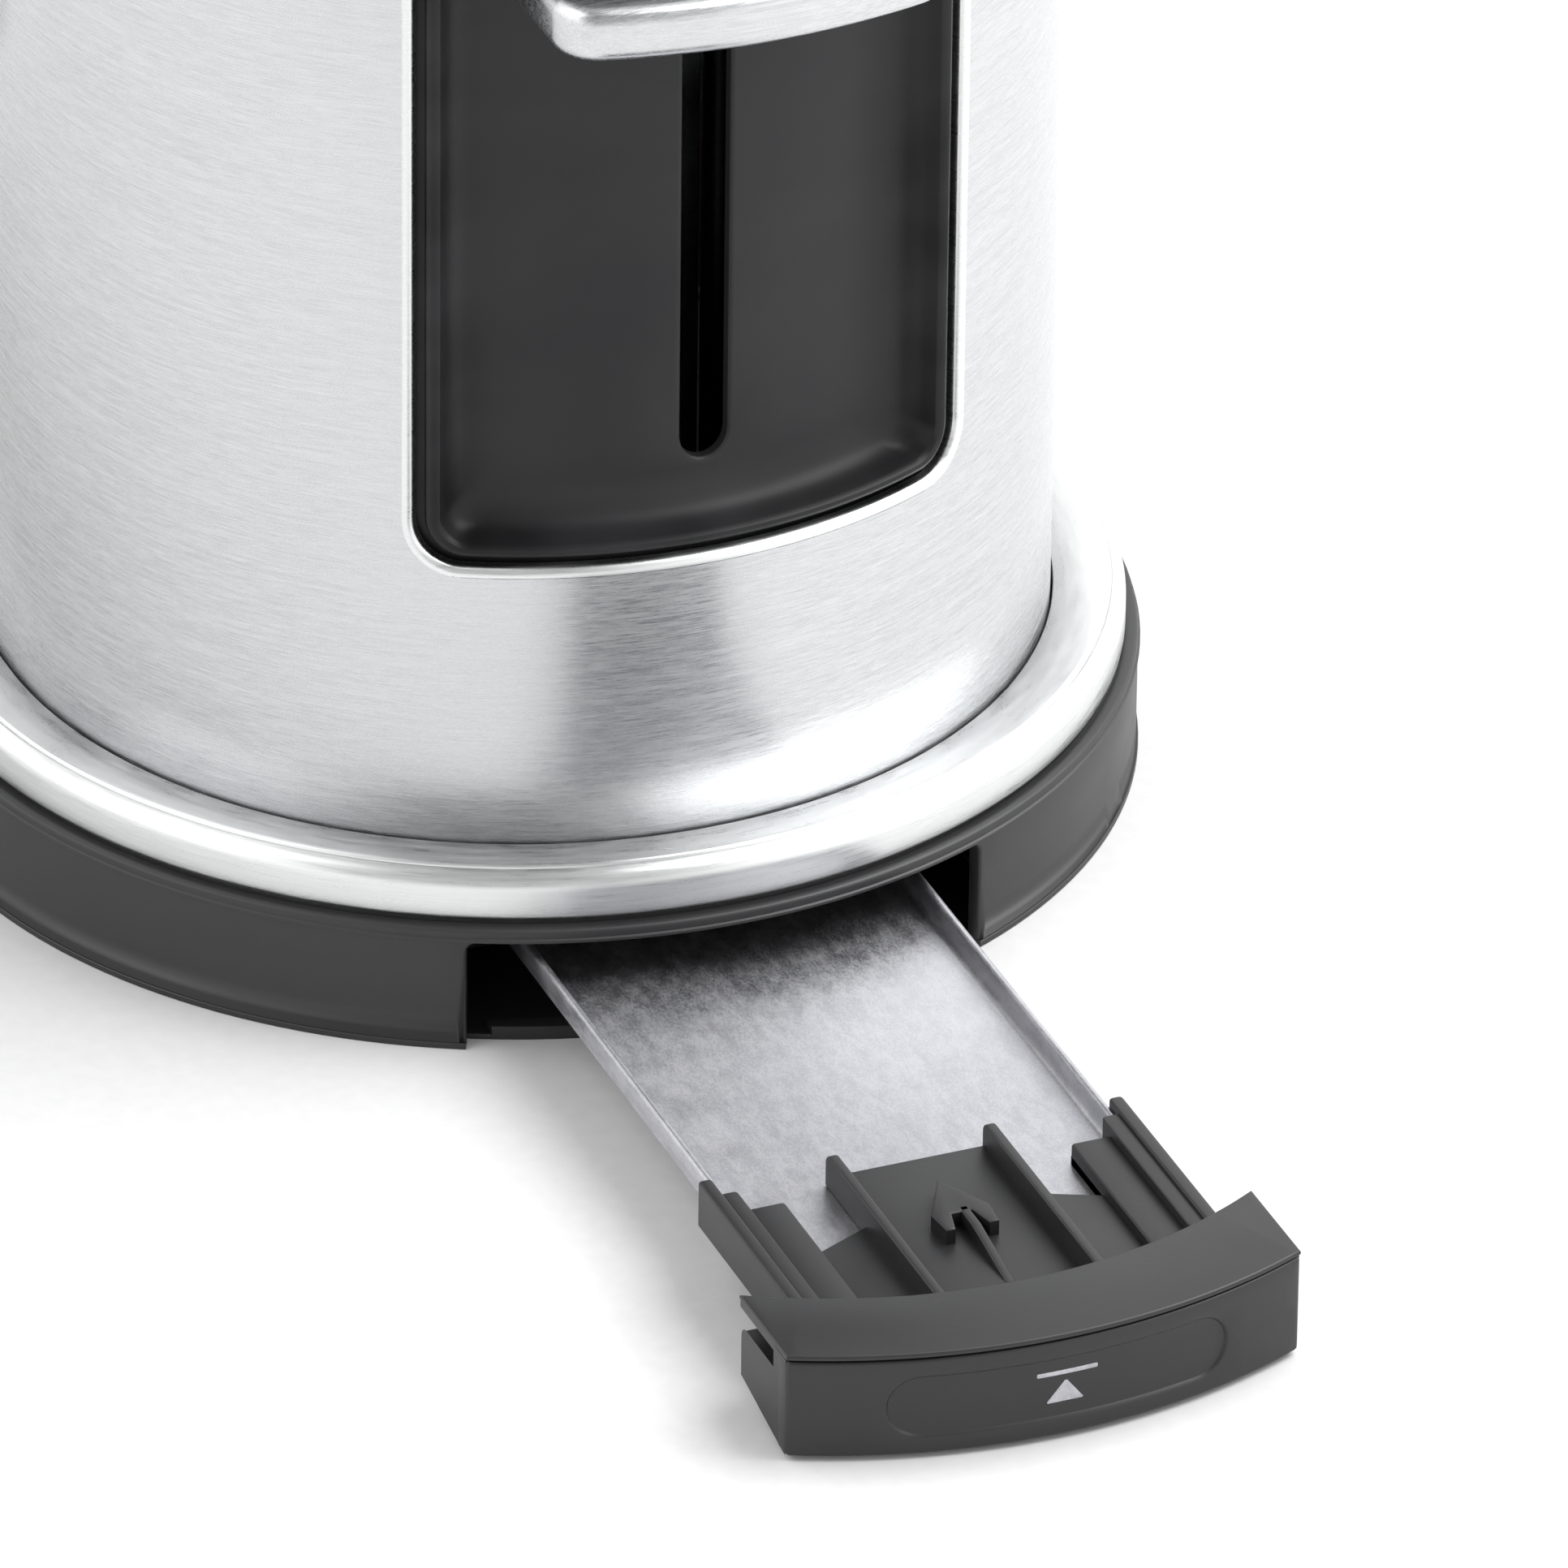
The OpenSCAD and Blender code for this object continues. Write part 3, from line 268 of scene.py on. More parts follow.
def makePiece(name, parts, body, material, replaced=(), sharp=38):
    # parts are (shape, place) pairs; normals are taken in the flat, so a bent sheet shades smoothly
    spots, faces, normals = [], [], []
    known = {}
    for shape, place in parts:
        flat = bpy.data.meshes.new("flat")
        flat.from_pydata(shape["points"], [], shape["faces"])
        bm = bmesh.new()
        bm.from_mesh(flat)
        bmesh.ops.remove_doubles(bm, verts=bm.verts, dist=1e-4)
        bmesh.ops.dissolve_degenerate(bm, dist=1e-5, edges=bm.edges)
        bmesh.ops.recalc_face_normals(bm, faces=bm.faces)
        bm.to_mesh(flat)
        bm.free()
        flat.shade_smooth()
        flat.set_sharp_from_angle(angle=math.radians(sharp))
        cornerNormals = [Vector(n.vector) for n in flat.corner_normals]
        known.clear()
        placed, turns = [], []
        for v in flat.vertices:
            spot, turn = place(v.co)
            key = tuple(round(c * 1000) for c in spot)
            if key not in known:
                known[key] = len(spots)
                spots.append(spot * mm)
            placed.append(known[key])
            turns.append(turn)
        for face in flat.polygons:
            corners = list(zip(face.vertices, face.loop_indices))
            if turns[face.vertices[0]].determinant() < 0:
                corners.reverse()
            ring = [placed[i] for i, corner in corners]
            if len(set(ring)) < len(ring):
                continue
            faces.append(ring)
            normals += [(turns[i] @ cornerNormals[corner]).normalized() for i, corner in corners]
        bpy.data.meshes.remove(flat)
    mesh = bpy.data.meshes.new(name)
    mesh.from_pydata(spots, [], faces)
    mesh.shade_smooth()
    mesh.normals_split_custom_set(normals)
    mesh.materials.append(material)
    piece = bpy.data.objects.new(name, mesh)
    bpy.context.scene.collection.objects.link(piece)
    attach(piece, body)
    if replaced:
        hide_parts(*replaced)
    return piece


# materials

def fromHex(code):
    # sRGB hex to linear colour
    parts = [int(code[i:i + 2], 16) / 255 for i in (1, 3, 5)]
    return tuple(c / 12.92 if c <= 0.04045 else ((c + 0.055) / 1.055) ** 2.4 for c in parts) + (1,)


def addNode(tree, kind, settings=None, links=None):
    # a setting is one of the node's inputs or properties, or the stops of its colour ramp
    node = tree.nodes.new("ShaderNode" + kind)
    for key, value in (settings or {}).items():
        if key == "stops":
            for stop, (position, code) in zip(node.color_ramp.elements, value):
                stop.position, stop.color = position, fromHex(code)
        elif isinstance(key, str) and hasattr(node, key):
            setattr(node, key, value)
        else:
            node.inputs[key].default_value = value
    for key, source in (links or {}).items():
        socket = source if isinstance(source, bpy.types.NodeSocket) else source.outputs[0]
        tree.links.new(socket, node.inputs[key])
    return node


def startMaterial(name):
    material = bpy.data.materials.new(name)
    material.use_nodes = True
    material.node_tree.nodes.clear()
    return material, material.node_tree


def endMaterial(tree, settings, links):
    shader = addNode(tree, "BsdfPrincipled", settings, links)
    addNode(tree, "OutputMaterial", {}, {"Surface": shader})


def pattern(tree, sizeMm, detail=3.0, roughness=0.55):
    # noise whose features are sizeMm long in x, y and z
    spot = addNode(tree, "TexCoord")
    scaled = addNode(tree, "Mapping", {"Scale": [1 / (s * mm) for s in sizeMm]},
                     {"Vector": spot.outputs["Object"]})
    return addNode(tree, "TexNoise", {"Scale": 1.0, "Detail": detail, "Roughness": roughness},
                   {"Vector": scaled})


def mouldedPlastic(name, dark, light, roughness, grainMm=0.5, depthMm=0.01, specular=0.5):
    # thermoplastic from a spark-eroded mould: even colour, a fine grain that softens its gloss, and
    # faint cloudy patches where it flowed; the grain is really 0.1 mm, drawn coarser so it shows
    material, tree = startMaterial(name)
    cloud = pattern(tree, (26, 26, 16), 2.0)
    fine = pattern(tree, (grainMm,) * 3, 1.0)
    colour = addNode(tree, "ValToRGB", {"stops": ((0.3, dark), (0.7, light))}, {"Fac": cloud})
    gloss = addNode(tree, "MapRange", {"From Min": 0.3, "From Max": 0.7, "To Min": roughness - 0.05,
                                       "To Max": roughness + 0.05}, {"Value": cloud})
    bump = addNode(tree, "Bump", {"Strength": 1.0, "Distance": depthMm * mm}, {"Height": fine})
    endMaterial(tree, {"IOR": 1.53, "Specular IOR Level": specular},
                {"Base Color": colour, "Roughness": gloss, "Normal": bump})
    return material


def recessPlastic(name, dark, light, wallShadeHex, roughness, floorOutMm, wallOutMm, grainMm=0.5, depthMm=0.008):
    # the same moulded ABS with a textured floor and slightly smoother side walls; the walls are painted near
    # black as shade in the recess,
    # # blending into the floor's colour over the fillet: finish and painted shade change with the distance
    # from the upright axis of the toaster's round end
    material, tree = startMaterial(name)
    spot = addNode(tree, "TexCoord")
    flat = addNode(tree, "Mapping", {"Location": (-endX * mm, 0, 0), "Scale": (1, 1, 0)},
                   {"Vector": spot.outputs["Object"]})
    away = addNode(tree, "VectorMath", {"operation": "LENGTH"}, {0: flat})
    depth = addNode(tree, "MapRange", {"From Min": floorOutMm * mm, "From Max": wallOutMm * mm},
                    {"Value": away.outputs["Value"]})
    cloud = pattern(tree, (26, 26, 16), 2.0)
    fine = pattern(tree, (grainMm,) * 3, 1.0)
    colour = addNode(tree, "ValToRGB", {"stops": ((0.3, dark), (0.7, light))}, {"Fac": cloud})
    # painted shade: the recess walls are coloured darker than the floor, for the shade inside the recess
    wall = addNode(tree, "ValToRGB", {"stops": ((0.3, wallShadeHex), (0.7, dark))}, {"Fac": cloud})
    both = addNode(tree, "Mix", {"data_type": "RGBA"}, {0: depth, 6: colour, 7: wall})
    gloss = addNode(tree, "MapRange", {"To Min": roughness, "To Max": roughness - 0.05}, {"Value": depth})
    bump = addNode(tree, "Bump", {"Strength": 1.0, "Distance": depthMm * mm}, {"Height": fine})
    endMaterial(tree, {"IOR": 1.53, "Specular IOR Level": 0.25},
                {"Base Color": both.outputs[2], "Roughness": gloss, "Normal": bump})
    return material


def brushedStainless(name, dark, light, roughness, lineMm=0.14, lengthMm=4.0, anisotropic=0.75,
                     depthMm=0.002, along="round"):
    # stainless steel sheet, belt brushed: fine parallel scratches pull each highlight out across
    # them; the scratches are really 0.05 mm wide, drawn coarser so that they show
    material, tree = startMaterial(name)
    size = {"round": (lengthMm, lengthMm, lineMm), "x": (lengthMm, lineMm, lineMm),
            "y": (lineMm, lengthMm, lineMm)}[along]
    lines = pattern(tree, size, 3.0, 0.6)
    streaks = pattern(tree, [5 * s for s in size], 2.0, 0.6)
    both = addNode(tree, "Mix", {"data_type": "FLOAT", 0: 0.3}, {2: lines, 3: streaks})
    colour = addNode(tree, "ValToRGB", {"stops": ((0.36, dark), (0.64, light))}, {"Fac": both})
    gloss = addNode(tree, "MapRange", {"From Min": 0.36, "From Max": 0.64, "To Min": roughness - 0.05,
                                       "To Max": roughness + 0.08}, {"Value": both})
    bump = addNode(tree, "Bump", {"Strength": 1.0, "Distance": depthMm * mm}, {"Height": lines})
    links = {"Base Color": colour, "Roughness": gloss, "Normal": bump}
    if along == "round":
        links["Tangent"] = addNode(tree, "Tangent", {"direction_type": "RADIAL", "axis": "Z"})
    endMaterial(tree, {"Metallic": 1.0, "Anisotropic": anisotropic, "Anisotropic Rotation": 0.25}, links)
    return material


def rolledMetal(name, dark, light, roughness, patchMm=9.0, speckMm=0.6, depthMm=0.004):
    # metal left as rolled, plated or drawn: cool colour in soft patches, with a fine speckle
    material, tree = startMaterial(name)
    cloud = pattern(tree, (patchMm * 2, patchMm, patchMm), 4.0, 0.6)
    speck = pattern(tree, (speckMm * 2, speckMm, speckMm), 2.0)
    both = addNode(tree, "Mix", {"data_type": "FLOAT", 0: 0.45}, {2: cloud, 3: speck})
    colour = addNode(tree, "ValToRGB", {"stops": ((0.38, dark), (0.62, light))}, {"Fac": both})
    gloss = addNode(tree, "MapRange", {"From Min": 0.35, "From Max": 0.65, "To Min": roughness - 0.06,
                                       "To Max": roughness + 0.08}, {"Value": both})
    bump = addNode(tree, "Bump", {"Strength": 1.0, "Distance": depthMm * mm}, {"Height": speck})
    endMaterial(tree, {"Metallic": 1.0}, {"Base Color": colour, "Roughness": gloss, "Normal": bump})
    return material


def micaBoard(name):
    # pressed mica: glossy flakes from 1 to 4 mm across in warm greys and browns
    material, tree = startMaterial(name)
    spot = addNode(tree, "TexCoord")
    scaled = addNode(tree, "Mapping", {"Scale": [1 / (2.5 * mm)] * 3}, {"Vector": spot.outputs["Object"]})
    flakes = addNode(tree, "TexVoronoi", {"Scale": 1.0}, {"Vector": scaled})
    colour = addNode(tree, "ValToRGB", {"stops": ((0.1, "#8f7c62"), (0.9, "#c3b397"))},
                     {"Fac": flakes.outputs["Color"]})
    gloss = addNode(tree, "MapRange", {"To Min": 0.22, "To Max": 0.5}, {"Value": flakes.outputs["Color"]})
    bump = addNode(tree, "Bump", {"Strength": 0.6, "Distance": 0.03 * mm},
                   {"Height": flakes.outputs["Distance"]})
    endMaterial(tree, {"IOR": 1.58}, {"Base Color": colour, "Roughness": gloss, "Normal": bump})
    return material


def clearLens(name):
    # moulded polycarbonate, frosted from behind: pale and glossy
    material, tree = startMaterial(name)
    haze = pattern(tree, (1.2, 1.2, 1.2), 2.0)
    colour = addNode(tree, "ValToRGB", {"stops": ((0.3, "#d5dbd2"), (0.7, "#eef2ea"))}, {"Fac": haze})
    gloss = addNode(tree, "MapRange", {"To Min": 0.12, "To Max": 0.3}, {"Value": haze})
    endMaterial(tree, {"IOR": 1.585, "Subsurface Weight": 0.2, "Subsurface Scale": 1.5 * mm,
                       "Coat Weight": 0.3}, {"Base Color": colour, "Roughness": gloss})
    return material


charcoalAbs = mouldedPlastic("charcoal_abs_moulded", "#232325", "#282829", 0.46)
trayAbs = mouldedPlastic("charcoal_abs_satin_moulded", "#1a1a1c", "#1f1f20", 0.44)
# the near-black #070708 of the recess walls is painted shade, not the plastic's own colour
recessAbs = recessPlastic("dark_abs_textured_floor_smooth_walls_painted_shade", "#252527", "#2a2a2b", "#070708", 0.48,
                          71.02, 73.2)
frameAbs = mouldedPlastic("dark_abs_moulded", "#1f1f21", "#242425", 0.48)
controlAbs = mouldedPlastic("black_abs_satin_moulded", "#1c1c1e", "#222224", 0.33, 0.4, 0.006)
brushedBody = brushedStainless("stainless_brushed_round_the_body", "#c3c4c6", "#d6d7d8", 0.27)
satinRing = brushedStainless("stainless_satin_drawn", "#dcdddd", "#e8e9e9", 0.3, 0.3, 9.0, 0.6, 0.002)
brushedTop = brushedStainless("stainless_brushed_along_the_top", "#c3c4c6", "#d6d7d8", 0.27, along="x")
knobSteel = brushedStainless("stainless_brushed_across", "#c4c5c7", "#d8d9da", 0.25, 0.25, 8.0, 0.5,
                             along="y")
galvanised = rolledMetal("steel_galvanised_sheet", "#adadb2", "#c4c4c8", 0.42, 2.0, 0.25)
zincSheet = rolledMetal("steel_zinc_plated_sheet", "#9fa3a8", "#b9bcc1", 0.4)
blackenedSteel = rolledMetal("steel_blackened", "#1d1e20", "#2a2b2d", 0.45, 5.0, 0.4)
aluminised = rolledMetal("steel_aluminised_bright", "#b4b7ba", "#cfd1d3", 0.25, 14.0, 0.8)
nichrome = rolledMetal("nichrome_ribbon_oxidised", "#5b5650", "#857d73", 0.45, 4.0, 0.3)
chromedWire = rolledMetal("steel_wire_chromium_plated", "#bfc2c6", "#d4d6d9", 0.16, 6.0, 0.5, 0.001)
nickelled = rolledMetal("steel_nickel_plated_screws", "#b4b4b0", "#cccbc6", 0.28, 4.0, 0.4, 0.002)
softIron = rolledMetal("iron_magnet_core_ground", "#5c5e62", "#74767a", 0.42, 3.0, 0.3)
copperCoil = rolledMetal("copper_wire_enamelled", "#9a5426", "#b96f3a", 0.3, 2.0, 0.25)
creamPbt = mouldedPlastic("cream_pbt_moulded", "#ddd7c6", "#e6e1d3", 0.5)
greenLaminate = mouldedPlastic("circuit_laminate_green_lacquered", "#1f5a35", "#2c6c43", 0.3, 1.2, 0.02)
switchPbt = mouldedPlastic("black_pbt_moulded", "#141415", "#1b1b1c", 0.5)
blackRubber = mouldedPlastic("black_rubber_pressed", "#171718", "#202022", 0.72, 0.6, 0.02, 0.3)
leadSleeve = mouldedPlastic("lead_insulation_extruded", "#6b3f22", "#7e4b2a", 0.42, 0.8, 0.01)
inkGrey = mouldedPlastic("pad_printed_grey_ink", "#a9aaac", "#bdbec0", 0.5, 0.3, 0.003)
silverFoil = rolledMetal("silver_hot_stamped_foil", "#a9a9ae", "#c3c3c8", 0.45, 2.0, 0.3, 0.002)
mica = micaBoard("mica_board_pressed")
lensPlastic = clearLens("clear_polycarbonate_moulded")
print("materials made")

# base and ring

baseSizes = {
    "wall": 2.6, "edgeR": 0.5, "openingGap": 1.4, "openingCornerR": 1.5, "openingRise": 0.3,
    "footBandH": 1.0, "footBandProud": 0.35, "ridgeBelowTop": 1.5, "ridgeH": 0.5,
    "lipBack": 3.2, "lipT": 2.7, "lipH": 2.0, "lipLowH": 0.7, "tabRoom": 3.2, "webH": 0.6, "webBack": 55,
    "deckHoleL": 172, "deckHoleW": 62,
}
s = baseSizes
halfRound = math.pi * baseR + 2 * endX
wallR = baseR - s["footBandProud"]
openHalf = baseR * math.asin((trayHigh.y + s["openingGap"]) / baseR)
openTop = trayHigh.z + s["openingRise"]
cornerR = s["openingCornerR"]
steps = planSteps(baseR)
left = [(a, 0) for a in steps if a < -openHalf - 0.5]
right = [(-a, v) for a, v in reversed(left)]
inside = [(a, openTop) for a in steps if abs(a) < openHalf - cornerR - 0.5]
notch = [(-openHalf, 0)] + arcPoints(-openHalf + cornerR, openTop - cornerR, cornerR, 180, 90, 4)
notch += inside + arcPoints(openHalf - cornerR, openTop - cornerR, cornerR, 90, 0, 4) + [(openHalf, 0)]
wallOutline = left + notch + right + [(a, skirtTop) for a in reversed(steps)]
wall = addPlate(newShape(), wallOutline, edgeSection(wallR, baseR - s["wall"], s["edgeR"], 0.2),
                gridU=steps, gridV=(6, 12), seam=halfRound)
bands = newShape()
for start, end in ((-halfRound, -openHalf), (openHalf, halfRound)):
    run = [start] + [a for a in steps if start + 0.5 < a < end - 0.5] + [end]
    proud = ((wallR - 0.6, 0), (baseR - 0.15, 0), (baseR, 0.15), (baseR, s["footBandH"] - 0.1),
             (baseR - 0.1, s["footBandH"]), (wallR - 0.6, s["footBandH"]))
    addStrip(bands, [[(out, a, up) for out, up in proud] for a in run])
    capAt = -openHalf if end < 0 else openHalf
    addFaces(bands, [(out, capAt, up) for out, up in proud], [range(len(proud))])
ridgeZ = skirtTop - s["ridgeBelowTop"] - s["ridgeH"]
ridge = newShape()
section = ((wallR - 0.4, ridgeZ - 0.25), (wallR, ridgeZ - 0.1), (baseR - 0.05, ridgeZ + 0.1),
           (baseR - 0.05, ridgeZ + s["ridgeH"]), (wallR, ridgeZ + s["ridgeH"] + 0.2),
           (wallR - 0.4, skirtTop - 1))
addStrip(ridge, [[(out, a, up) for out, up in section] for a in steps])
deckHole = roundedLoop(0, 0, s["deckHoleL"], s["deckHoleW"], 3)[::-1]
deck = addPlate(newShape(), stadiumLoop(baseR - s["wall"] + 0.2),
                edgeSection(skirtTop - 0.02, skirtTop - 2, 0.1),
                holes=[(deckHole, edgeSection(skirtTop - 0.02, skirtTop - 2, 0.3))])
lip = newShape()
lipR = baseR - s["lipBack"]
lipHalf = trayHigh.y + s["openingGap"] + 1
for half, lipTop in ((lipHalf, s["lipLowH"]), (trayHigh.y - s["tabRoom"], s["lipH"])):
    run = [-half + 2 * half * i / 24 for i in range(25)]
    section = ((lipR, 0), (lipR, lipTop - 0.3), (lipR - 0.3, lipTop), (lipR - s["lipT"], lipTop),
               (lipR - s["lipT"], 0))
    addStrip(lip, [[(out, y, up) for out, up in section] for y in run])
    for y in (-half, half):
        addFaces(lip, [(out, y, up) for out, up in section], [range(len(section))])
webHalf = lipHalf + 3
webTurn = math.degrees(math.asin(webHalf / (lipR - 1)))
webOutline = arcPoints(endX, 0, lipR - 1, -webTurn, webTurn, 24)
webOutline += [(endX + s["webBack"], webHalf), (endX + s["webBack"], -webHalf)]
web = addPlate(newShape(), webOutline, edgeSection(s["webH"], 0.05, 0.1))
makePiece("base_moulding", [(wall, wrapPlan(baseR)), (bands, wrapPlan(baseR)), (ridge, wrapPlan(baseR)),
                            (deck, layFlat()), (lip, roundFace(endX)), (web, layFlat())],
          "housing", charcoalAbs, ["base_housing"])

ringSizes = {"gap": 0.7, "bandRoundR": 2.9, "bandTopAngle": 72, "beadR": 0.6, "fall": 1.5}
s = ringSizes
ringIn = shellHigh.y + 0.3
bandX, bandZ = ringR - s["bandRoundR"], ringHigh.z - 3.4
beadX, beadZ = bandX + 0.15, ringHigh.z - s["beadR"]
rings = [(ringIn, skirtTop + 0.05), (ringR - 1.6, skirtTop + 0.05), (ringR - 1.4, skirtTop + s["gap"])]
rings += arcPoints(ringR - 0.6, skirtTop + s["gap"] + 0.6, 0.6, -90, 0, 4)
rings += arcPoints(bandX, bandZ, s["bandRoundR"], 0, s["bandTopAngle"], 9)
rings += arcPoints(beadX, beadZ, s["beadR"], -15, 112, 8)
rings += [(ringIn + 0.2, ringHigh.z - s["fall"]), (ringIn, ringHigh.z - s["fall"] - 0.3)]
steps = planSteps(ringR, 128, 16)
ringShape = newShape()
addStrip(ringShape, [[(out, a, up) for out, up in rings] for a in steps])
makePiece("steel_ring", [(ringShape, wrapPlan(ringR))], "housing", satinRing, ["base_ring"], 50)
print("base and ring made")

# steel body with its recess

recessSizes = {
    "cutHalf": 44.3, "cutBottom": 72.0, "cutTop": 184.0, "cutR": 7.0, "rimR": 1.3, "gap": 1.3,
    "beadW": 2.4, "beadInnerHalf": 40.4,
    "slotW": 7.5, "slotShift": 1.1, "floorOut": 71.0, "travel": 78,
}
s = recessSizes
fasciaBoxLow, fasciaBoxHigh = nodeBox("control_fascia")
fasciaX, fasciaZ = (fasciaBoxLow.x + fasciaBoxHigh.x) / 2, (fasciaBoxLow.z + fasciaBoxHigh.z) / 2
windowW = fasciaBoxHigh.x - fasciaBoxLow.x - 5.4
windowH = fasciaBoxHigh.z - fasciaBoxLow.z - 5.4
halfBody = math.pi * bodyR + 2 * endX
steps = planSteps(bodyR, 120, 14)
bodyIn = bodyR - sheetT
bodyOutline = [(a, shellLow.z) for a in steps] + [(a, shellHigh.z) for a in reversed(steps)]
plain = [(0.15, bodyR), (0.05, bodyR - 0.05), (0, bodyR - 0.15), (0, bodyIn)]
r = s["rimR"]
rolled = [(r + 0.3, bodyR)]
rolled += [(r * (1 - math.sin(math.radians(d))), bodyR - r * (1 - math.cos(math.radians(d))))
           for d in range(0, 91, 15)]
rolled += [(0, bodyR - 2.1), (sheetT, bodyR - 2.1), (sheetT, bodyR - r), (r + 0.3, bodyIn)]
cutMid = (s["cutBottom"] + s["cutTop"]) / 2
cutHeight = s["cutTop"] - s["cutBottom"]
cutHole = roundedLoop(0, cutMid, 2 * s["cutHalf"], cutHeight, s["cutR"], 34, 6, 10)[::-1]
fasciaAlong = -(bodyR * math.pi / 2 + endX - fasciaX)
windowHole = roundedLoop(fasciaAlong, fasciaZ, windowW, windowH, 5, 4, 4)[::-1]
shell = addPlate(newShape(), bodyOutline, plain, gridU=steps, gridV=(46, 60, 98, 128, 158), seam=halfBody,
                 holes=[(cutHole, [(r + 0.2, bodyR), (r + 0.2, bodyIn)]),
                        (windowHole, [(0.5, bodyR), (0.15, bodyR - 0.1), (0, bodyR - 0.4), (0, bodyIn)])])
makePiece("steel_body", [(shell, wrapPlan(bodyR))], "housing", brushedBody, ["body_shell"])
edgeRoll = newShape()
addStrip(edgeRoll, [[(out, *p) for p in insetLoop(cutHole, inset)] for inset, out in rolled])
makePiece("steel_body_rolled_edge", [(edgeRoll, wrapPlan(bodyR))], "housing", satinRing)

# each row is half width, bottom, top, corner radius and distance out
panelT = 2.0
floorOut = s["floorOut"]
beadHalf = s["beadInnerHalf"] + s["beadW"]
low, high = s["cutBottom"], s["cutTop"]
beadLow, beadHigh = low + s["gap"], high - s["gap"]
wallHalf = s["beadInnerHalf"]
wallLow, wallHigh = beadLow + s["beadW"] - 0.6, beadHigh - s["beadW"] + 0.6
rows = [
    (48.2, low - 3.8, high + 3.8, 10, bodyR - 3.6),
    (48.2, low - 3.8, high + 3.8, 10, bodyR - 1.9),
    (s["cutHalf"] + 0.6, low - 0.6, high + 0.6, 7.4, bodyR - 3.0),
    (beadHalf + 0.15, beadLow - 0.15, beadHigh + 0.15, 6.2, bodyR - 3.0),
    (beadHalf, beadLow, beadHigh, 6, bodyR - 1.3),
    (beadHalf - 0.35, beadLow + 0.35, beadHigh - 0.35, 5.8, bodyR - 0.75),
    (beadHalf - 1.0, beadLow + 0.9, beadHigh - 0.9, 5.4, bodyR - 0.5),
    (beadHalf - 1.7, beadLow + 1.4, beadHigh - 1.4, 5.0, bodyR - 0.7),
    (wallHalf + 0.15, wallLow - 0.1, wallHigh + 0.1, 4.6, bodyR - 1.2),
    (wallHalf, wallLow + 0.02, wallHigh - 0.02, 4.5, bodyR - 1.8),
    (wallHalf - 0.25, wallLow + 0.2, wallHigh - 0.2, 4.4, bodyR - 3.2),
    (wallHalf - 0.7, wallLow + 0.5, wallHigh - 0.5, 4.3, bodyR - 4.5),
    (wallHalf - 1.6, wallLow + 1.1, wallHigh - 1.1, 4.2, bodyR - 5.8),
    (wallHalf - 2.9, wallLow + 2.1, wallHigh - 2.1, 4.2, bodyR - 6.8),
    (wallHalf - 4.5, wallLow + 3.3, wallHigh - 3.3, 4.1, bodyR - 7.45),
    (wallHalf - 6.3, wallLow + 4.7, wallHigh - 4.7, 4.0, bodyR - 7.82),
    (wallHalf - 8.0, wallLow + 6.0, wallHigh - 6.0, 3.9, bodyR - 7.97),
    (wallHalf - 9.2, wallLow + 7.0, wallHigh - 7.0, 3.8, floorOut),
]


def rowLoop(half, bottom, top, radius):
    return roundedLoop(0, (bottom + top) / 2, 2 * half, top - bottom, radius, 34, 6, 10)


armLow, armHigh = nodeBox("lever_arm")
slotBottom, slotTop = armLow.z - s["travel"] - 3, armHigh.z + 3
slotHole = roundedLoop(s["slotShift"] * bodyR / floorOut, (slotBottom + slotTop) / 2,
                       s["slotW"] * bodyR / floorOut, slotTop - slotBottom, 4.1, 1, 1, 8)[::-1]
panel = newShape()
addStrip(panel, [[(row[4], *p) for p in rowLoop(*row[:4])] for row in rows])
last = rows[-1]
slotEdge = [(0.6, floorOut), (0.25, floorOut - 0.1), (0, floorOut - 0.45), (0, floorOut - panelT)]
floorSteps = [-32 + 2 * i for i in range(33)]
addCap(panel, floorOut, [rowLoop(*last[:4]), insetLoop(slotHole, 0.6)], floorSteps, (100, 130, 155))
addStrip(panel, [[(out, *p) for p in insetLoop(slotHole, inset)] for inset, out in slotEdge])
addCap(panel, floorOut - panelT, [rowLoop(*last[:4]), slotHole], floorSteps, (100, 130, 155))
backRows = [(h + 1.6, b - 1.6, t + 1.6, c + 1, max(out - 2.2, floorOut - panelT))
            for h, b, t, c, out in rows[8:-1]]
addStrip(panel, [[(row[4], *p) for p in rowLoop(*row[:4])] for row in [rows[0]] + backRows]
         + [[(floorOut - panelT, *p) for p in rowLoop(*last[:4])]])
makePiece("recess_moulding", [(panel, wrapPlan(bodyR))], "housing", recessAbs, ["recess_panel"],
          30)
print("body and recess made")

# top cover and slot frames

coverSizes = {"shoulderR": 7.5, "sheetT": 1.6, "slotL": 150.0, "slotW": 36.0, "slotPitch": 58.0, "slotR": 6.0}
s = coverSizes
shoulderR = s["shoulderR"]
turnSteps = [math.radians(90 * i / 10) for i in range(11)]
outer = [(shoulderR * (1 - math.sin(a)), coverTop - shoulderR * (1 - math.cos(a))) for a in turnSteps]
innerR = shoulderR - s["sheetT"]
under = [(shoulderR - innerR * math.sin(a), coverTop - shoulderR + innerR * math.cos(a))
         for a in reversed(turnSteps)]
coverEdge = outer + [(0, coverTop - shoulderR - 0.3), (sheetT + 0.4, coverTop - shoulderR - 0.3)] + under
slotHoles = []
for side in (-1, 1):
    hole = roundedLoop(0, side * s["slotPitch"] / 2, s["slotL"], s["slotW"], s["slotR"], 4, 2)[::-1]
    slotHoles.append((hole, edgeSection(coverTop, coverTop - s["sheetT"], 0.3)))
cover = addPlate(newShape(), stadiumLoop(bodyR, 72), coverEdge, slotHoles)
skirt = newShape()
skirtGap = 49
skirtSteps = [a for a in planSteps(bodyIn, 96, 10) if abs(a) > skirtGap]
